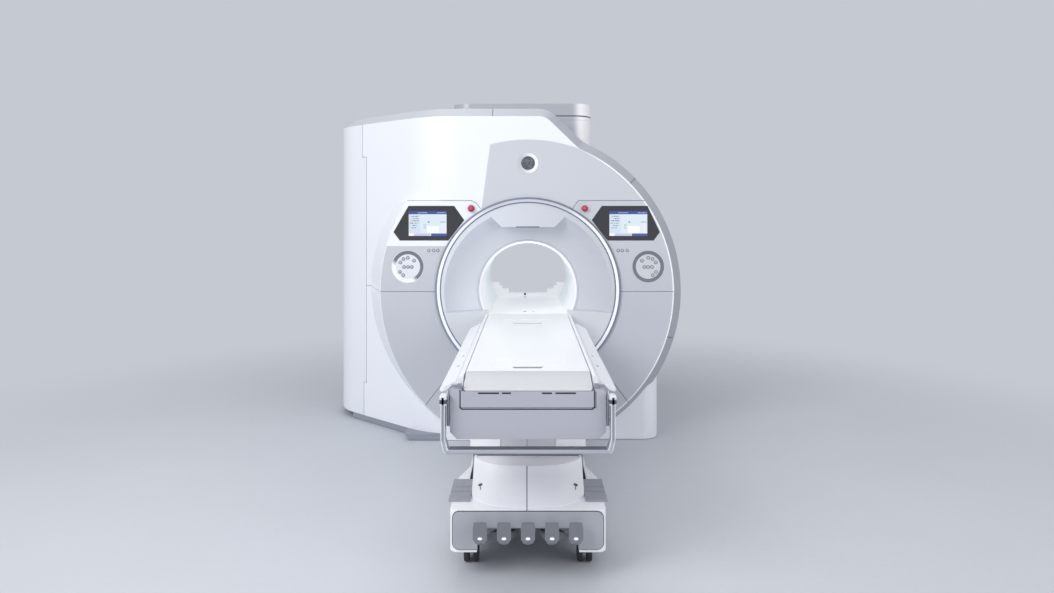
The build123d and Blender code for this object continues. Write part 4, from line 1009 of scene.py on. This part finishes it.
# guide dots on the end of the bridge, and flat ones on its top
guide = {"disc": (0.011, 0.002, 20), "edge": 0.0004,
         "places": ((-0.0281, 0.6195, 0.8884, "bridge_end", "SeamDark"),
                    (-0.0277, 0.5264, 0.8712, "patient_bridge", "SeamDark"),
                    (-0.0236, -0.4723, 0.8712, "patient_bridge", "SeamDark"),
                    (0.0432, -0.4723, 0.8712, "patient_bridge", "KeyPale"))}
for number, (x, y, z, node, material) in enumerate(guide["places"], 1):
    mark = addDisc("GuideDot%d" % number, x, y, z, *guide["disc"], lies=number > 1)
    finished(mark, material, node, guide["edge"])
print("bridge marks ready")

# dark floors in the slots of the cradle, painted shade in the slots: left, right, near, far, depth, material
slots = {"top": 0.925, "thick": 0.0012, "sunk": 0.0004, "clear": 0.0004, "edge": 0.0003,
         "places": ((-0.171, 0.168, -2.673, -2.661, 0.006, "KeyDark"),
                    (-0.158, 0.158, -1.3, -1.276, 0.005, "LineGrey"),
                    (-0.098, 0.09, -1.455, -1.393, 0.005, "PanelGrey"))}
for number, (x0, x1, y0, y1, deep, material) in enumerate(slots["places"], 1):
    low, clear = slots["top"] - deep, slots["clear"]
    strip = addBlock("CradleSlot%d" % number, (x0 + clear, x1 - clear), (y0 + clear, y1 - clear),
                     (low - slots["sunk"], low + slots["thick"]))
    finished(strip, material, "cradle", slots["edge"])

# floor of the grip at the foot of the cradle, narrower towards the foot
grip = {"box": ((-0.0785, 0.0755), (-2.8145, -2.7655), (0.9185, 0.9195)), "narrow": 0.8, "edge": 0.0003}
base = addBlock("GripFloor", *grip["box"])
selectFaces(base, 1, -1)
bpy.ops.transform.resize(value=(grip["narrow"], 1, 1))
leaveEdit()
finished(base, "LineGrey", "cradle", grip["edge"])
print("cradle slots and grip ready")

# dark gasket round the pedal panel, open where the pedals are
gasket = {"box": ((-0.3385, 0.3385), (-2.919, -2.9148), (0.1385, 0.3115)), "corner": (0.031, 6), "wide": 0.0048,
          "edge": 0.0006, "opening": ((-0.229, 0.229), (-3.0, -2.9), (0.1, 0.2))}
edge = addBlock("PanelGasket", *gasket["box"])
roundCorners(edge, 1, *gasket["corner"])
hollowed(edge, 1, gasket["wide"])
carve(edge, addBlock("GasketCutter", *gasket["opening"]))
finished(edge, "SeamDark", "pedal_panel", gasket["edge"], 1)

thinStrip = {"edge": 0.0002, "near": 1e-5, "thick": 0.0012}


def followStrip(name, points, half, node, x, turn=0.0, lift=0.0):
    # a thin strip extruded along points (y, z) of a surface, then leaned to the right and moved to its place
    (startY, startZ), (nextY, nextZ) = points[:2]
    bpy.ops.mesh.primitive_plane_add(size=1, location=(0, (startY + nextY) / 2, (startZ + nextZ) / 2),
                                     rotation=(math.atan2(startZ - nextZ, startY - nextY), 0, 0))
    strip = bpy.context.object
    strip.name = name
    strip.scale = (2 * half, math.dist(points[0], points[1]), 1)
    bpy.ops.object.transform_apply(location=True, rotation=True, scale=True)
    for (fromY, fromZ), (toY, toZ) in zip(points[1:], points[2:]):
        selectEdges(strip, lambda *ends: all(math.dist(end.yz, (fromY, fromZ)) < thinStrip["near"] for end in ends))
        bpy.ops.mesh.extrude_region_move(TRANSFORM_OT_translate={"value": (0, toY - fromY, toZ - fromZ)})
        leaveEdit()
    moved(strip, (0, turn, 0), (x, 0, lift))
    applyModifier(strip, "SOLIDIFY", thickness=thinStrip["thick"], offset=0)
    return finished(strip, "SeamDark", node, thinStrip["edge"], 1)


seam = {"x": -0.0047, "half": 0.0019, "points": ((-2.7136, 0.44), (-2.7588, 0.395), (-2.888, 0.3121),
                                                 (-2.9149, 0.3121), (-2.9151, 0.308))}
followStrip("BaseSeam", seam["points"], seam["half"], "base_cover", seam["x"])

# dark strips in the joints of the roof: the left one straight over it, the right one leaned to its angle
roof = {"half": 0.0021, "x": -0.2555, "front": ((-0.9362, 2.3432), (-0.8742, 2.4052), (-0.4405, 2.4052)),
        "back": ((0.935, 2.3444), (0.8742, 2.4052), (0.4505, 2.4052)), "roundX": -0.066, "roundZ": 1.077,
        "round": ((-0.9362, 1.1192), (-0.8742, 1.1812), (0.8742, 1.1812), (0.935, 1.1204)), "lean": 45.9}
followStrip("RoofSeamFront", roof["front"], roof["half"], "roof_cover_left", roof["x"])
followStrip("RoofSeamBack", roof["back"], roof["half"], "roof_cover_left", roof["x"])
followStrip("SideSeamUpper", roof["round"], roof["half"], "side_cover_right", roof["roundX"], roof["lean"],
            roof["roundZ"])

# latch holes in the arm boards
latch = {"places": ((0.3442, -2.5596, 0.8813), (0.3415, -2.3137, 0.8826)), "tilt": 25.5,
         "disc": (0.0065, 0.002, 20), "edge": 0.0004}
for side, name in bothSides:
    for number, (x, y, z) in enumerate(latch["places"], 1):
        hole = addDisc("Latch%s%d" % (name, number), 0, 0, 0, *latch["disc"], lies=True)
        bevelled(hole, latch["edge"])
        moved(hole, (0, side * latch["tilt"], 0), (side * x, y, z))
        finished(hole, "SeamDark", "arm_board_%s_foot" % name.lower())
print("seams and latches ready")

# dark gasket round the cap on the roof
turret = {"box": ((-0.6005, 0.5065), (-0.4405, 0.4505), (2.4075, 2.4165)), "corner": (0.1505, 10), "wall": 0.002}
band = addBlock("TurretGasket", *turret["box"])
roundCorners(band, 2, *turret["corner"])
hollowed(band, 2, turret["wall"])
finished(band, "SeamDark", "turret_cap")
print("roof gasket ready")

# clamps that hold the handle's uprights on their pins, with bright ends as a painted highlight and a dark band
clamp = {"xs": (0.3435, 0.3745), "ys": (-3.0885, -3.0345), "zs": (0.822, 0.8655), "edge": 0.006, "bandLow": 0.831,
         "bandHigh": 0.849, "bandSoft": 0.001, "inset": 0.0035, "share": 0.985, "facing": 0.95,
         "bright": (236, 238, 244), "dark": (92, 95, 105)}


def clampPaintedHighlight(tree):
    z = objectPlace(tree)[3]
    inside = times(tree, stepNode(tree, z, clamp["bandLow"], clamp["bandSoft"]),
                   stepNode(tree, z, clamp["bandHigh"], -clamp["bandSoft"]))
    return mixNode(tree, inside, clamp["bright"], clamp["dark"])


addSkin("ClampMetal", clampPaintedHighlight, 0.3, toneChange=0.01, metallic=0.3, peelDepth=0.0)
for side, name in bothSides:
    holder = addBlock("HandleClamp" + name, [side * x for x in clamp["xs"]], clamp["ys"], clamp["zs"])
    bevelled(holder, clamp["edge"], 3)
    selectFaces(holder, 0, facing=clamp["facing"])
    bpy.ops.mesh.inset(thickness=clamp["inset"])
    bpy.ops.transform.resize(value=(clamp["share"], 1, 1), center_override=(side * sum(clamp["xs"]) / 2, 0, 0))
    settle(holder)
    finished(holder, "ClampMetal", "push_handle")
print("clamps ready")

low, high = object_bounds()
{"cad": [list(cadLow), list(cadHigh)], "visual": [list(low), list(high)]}
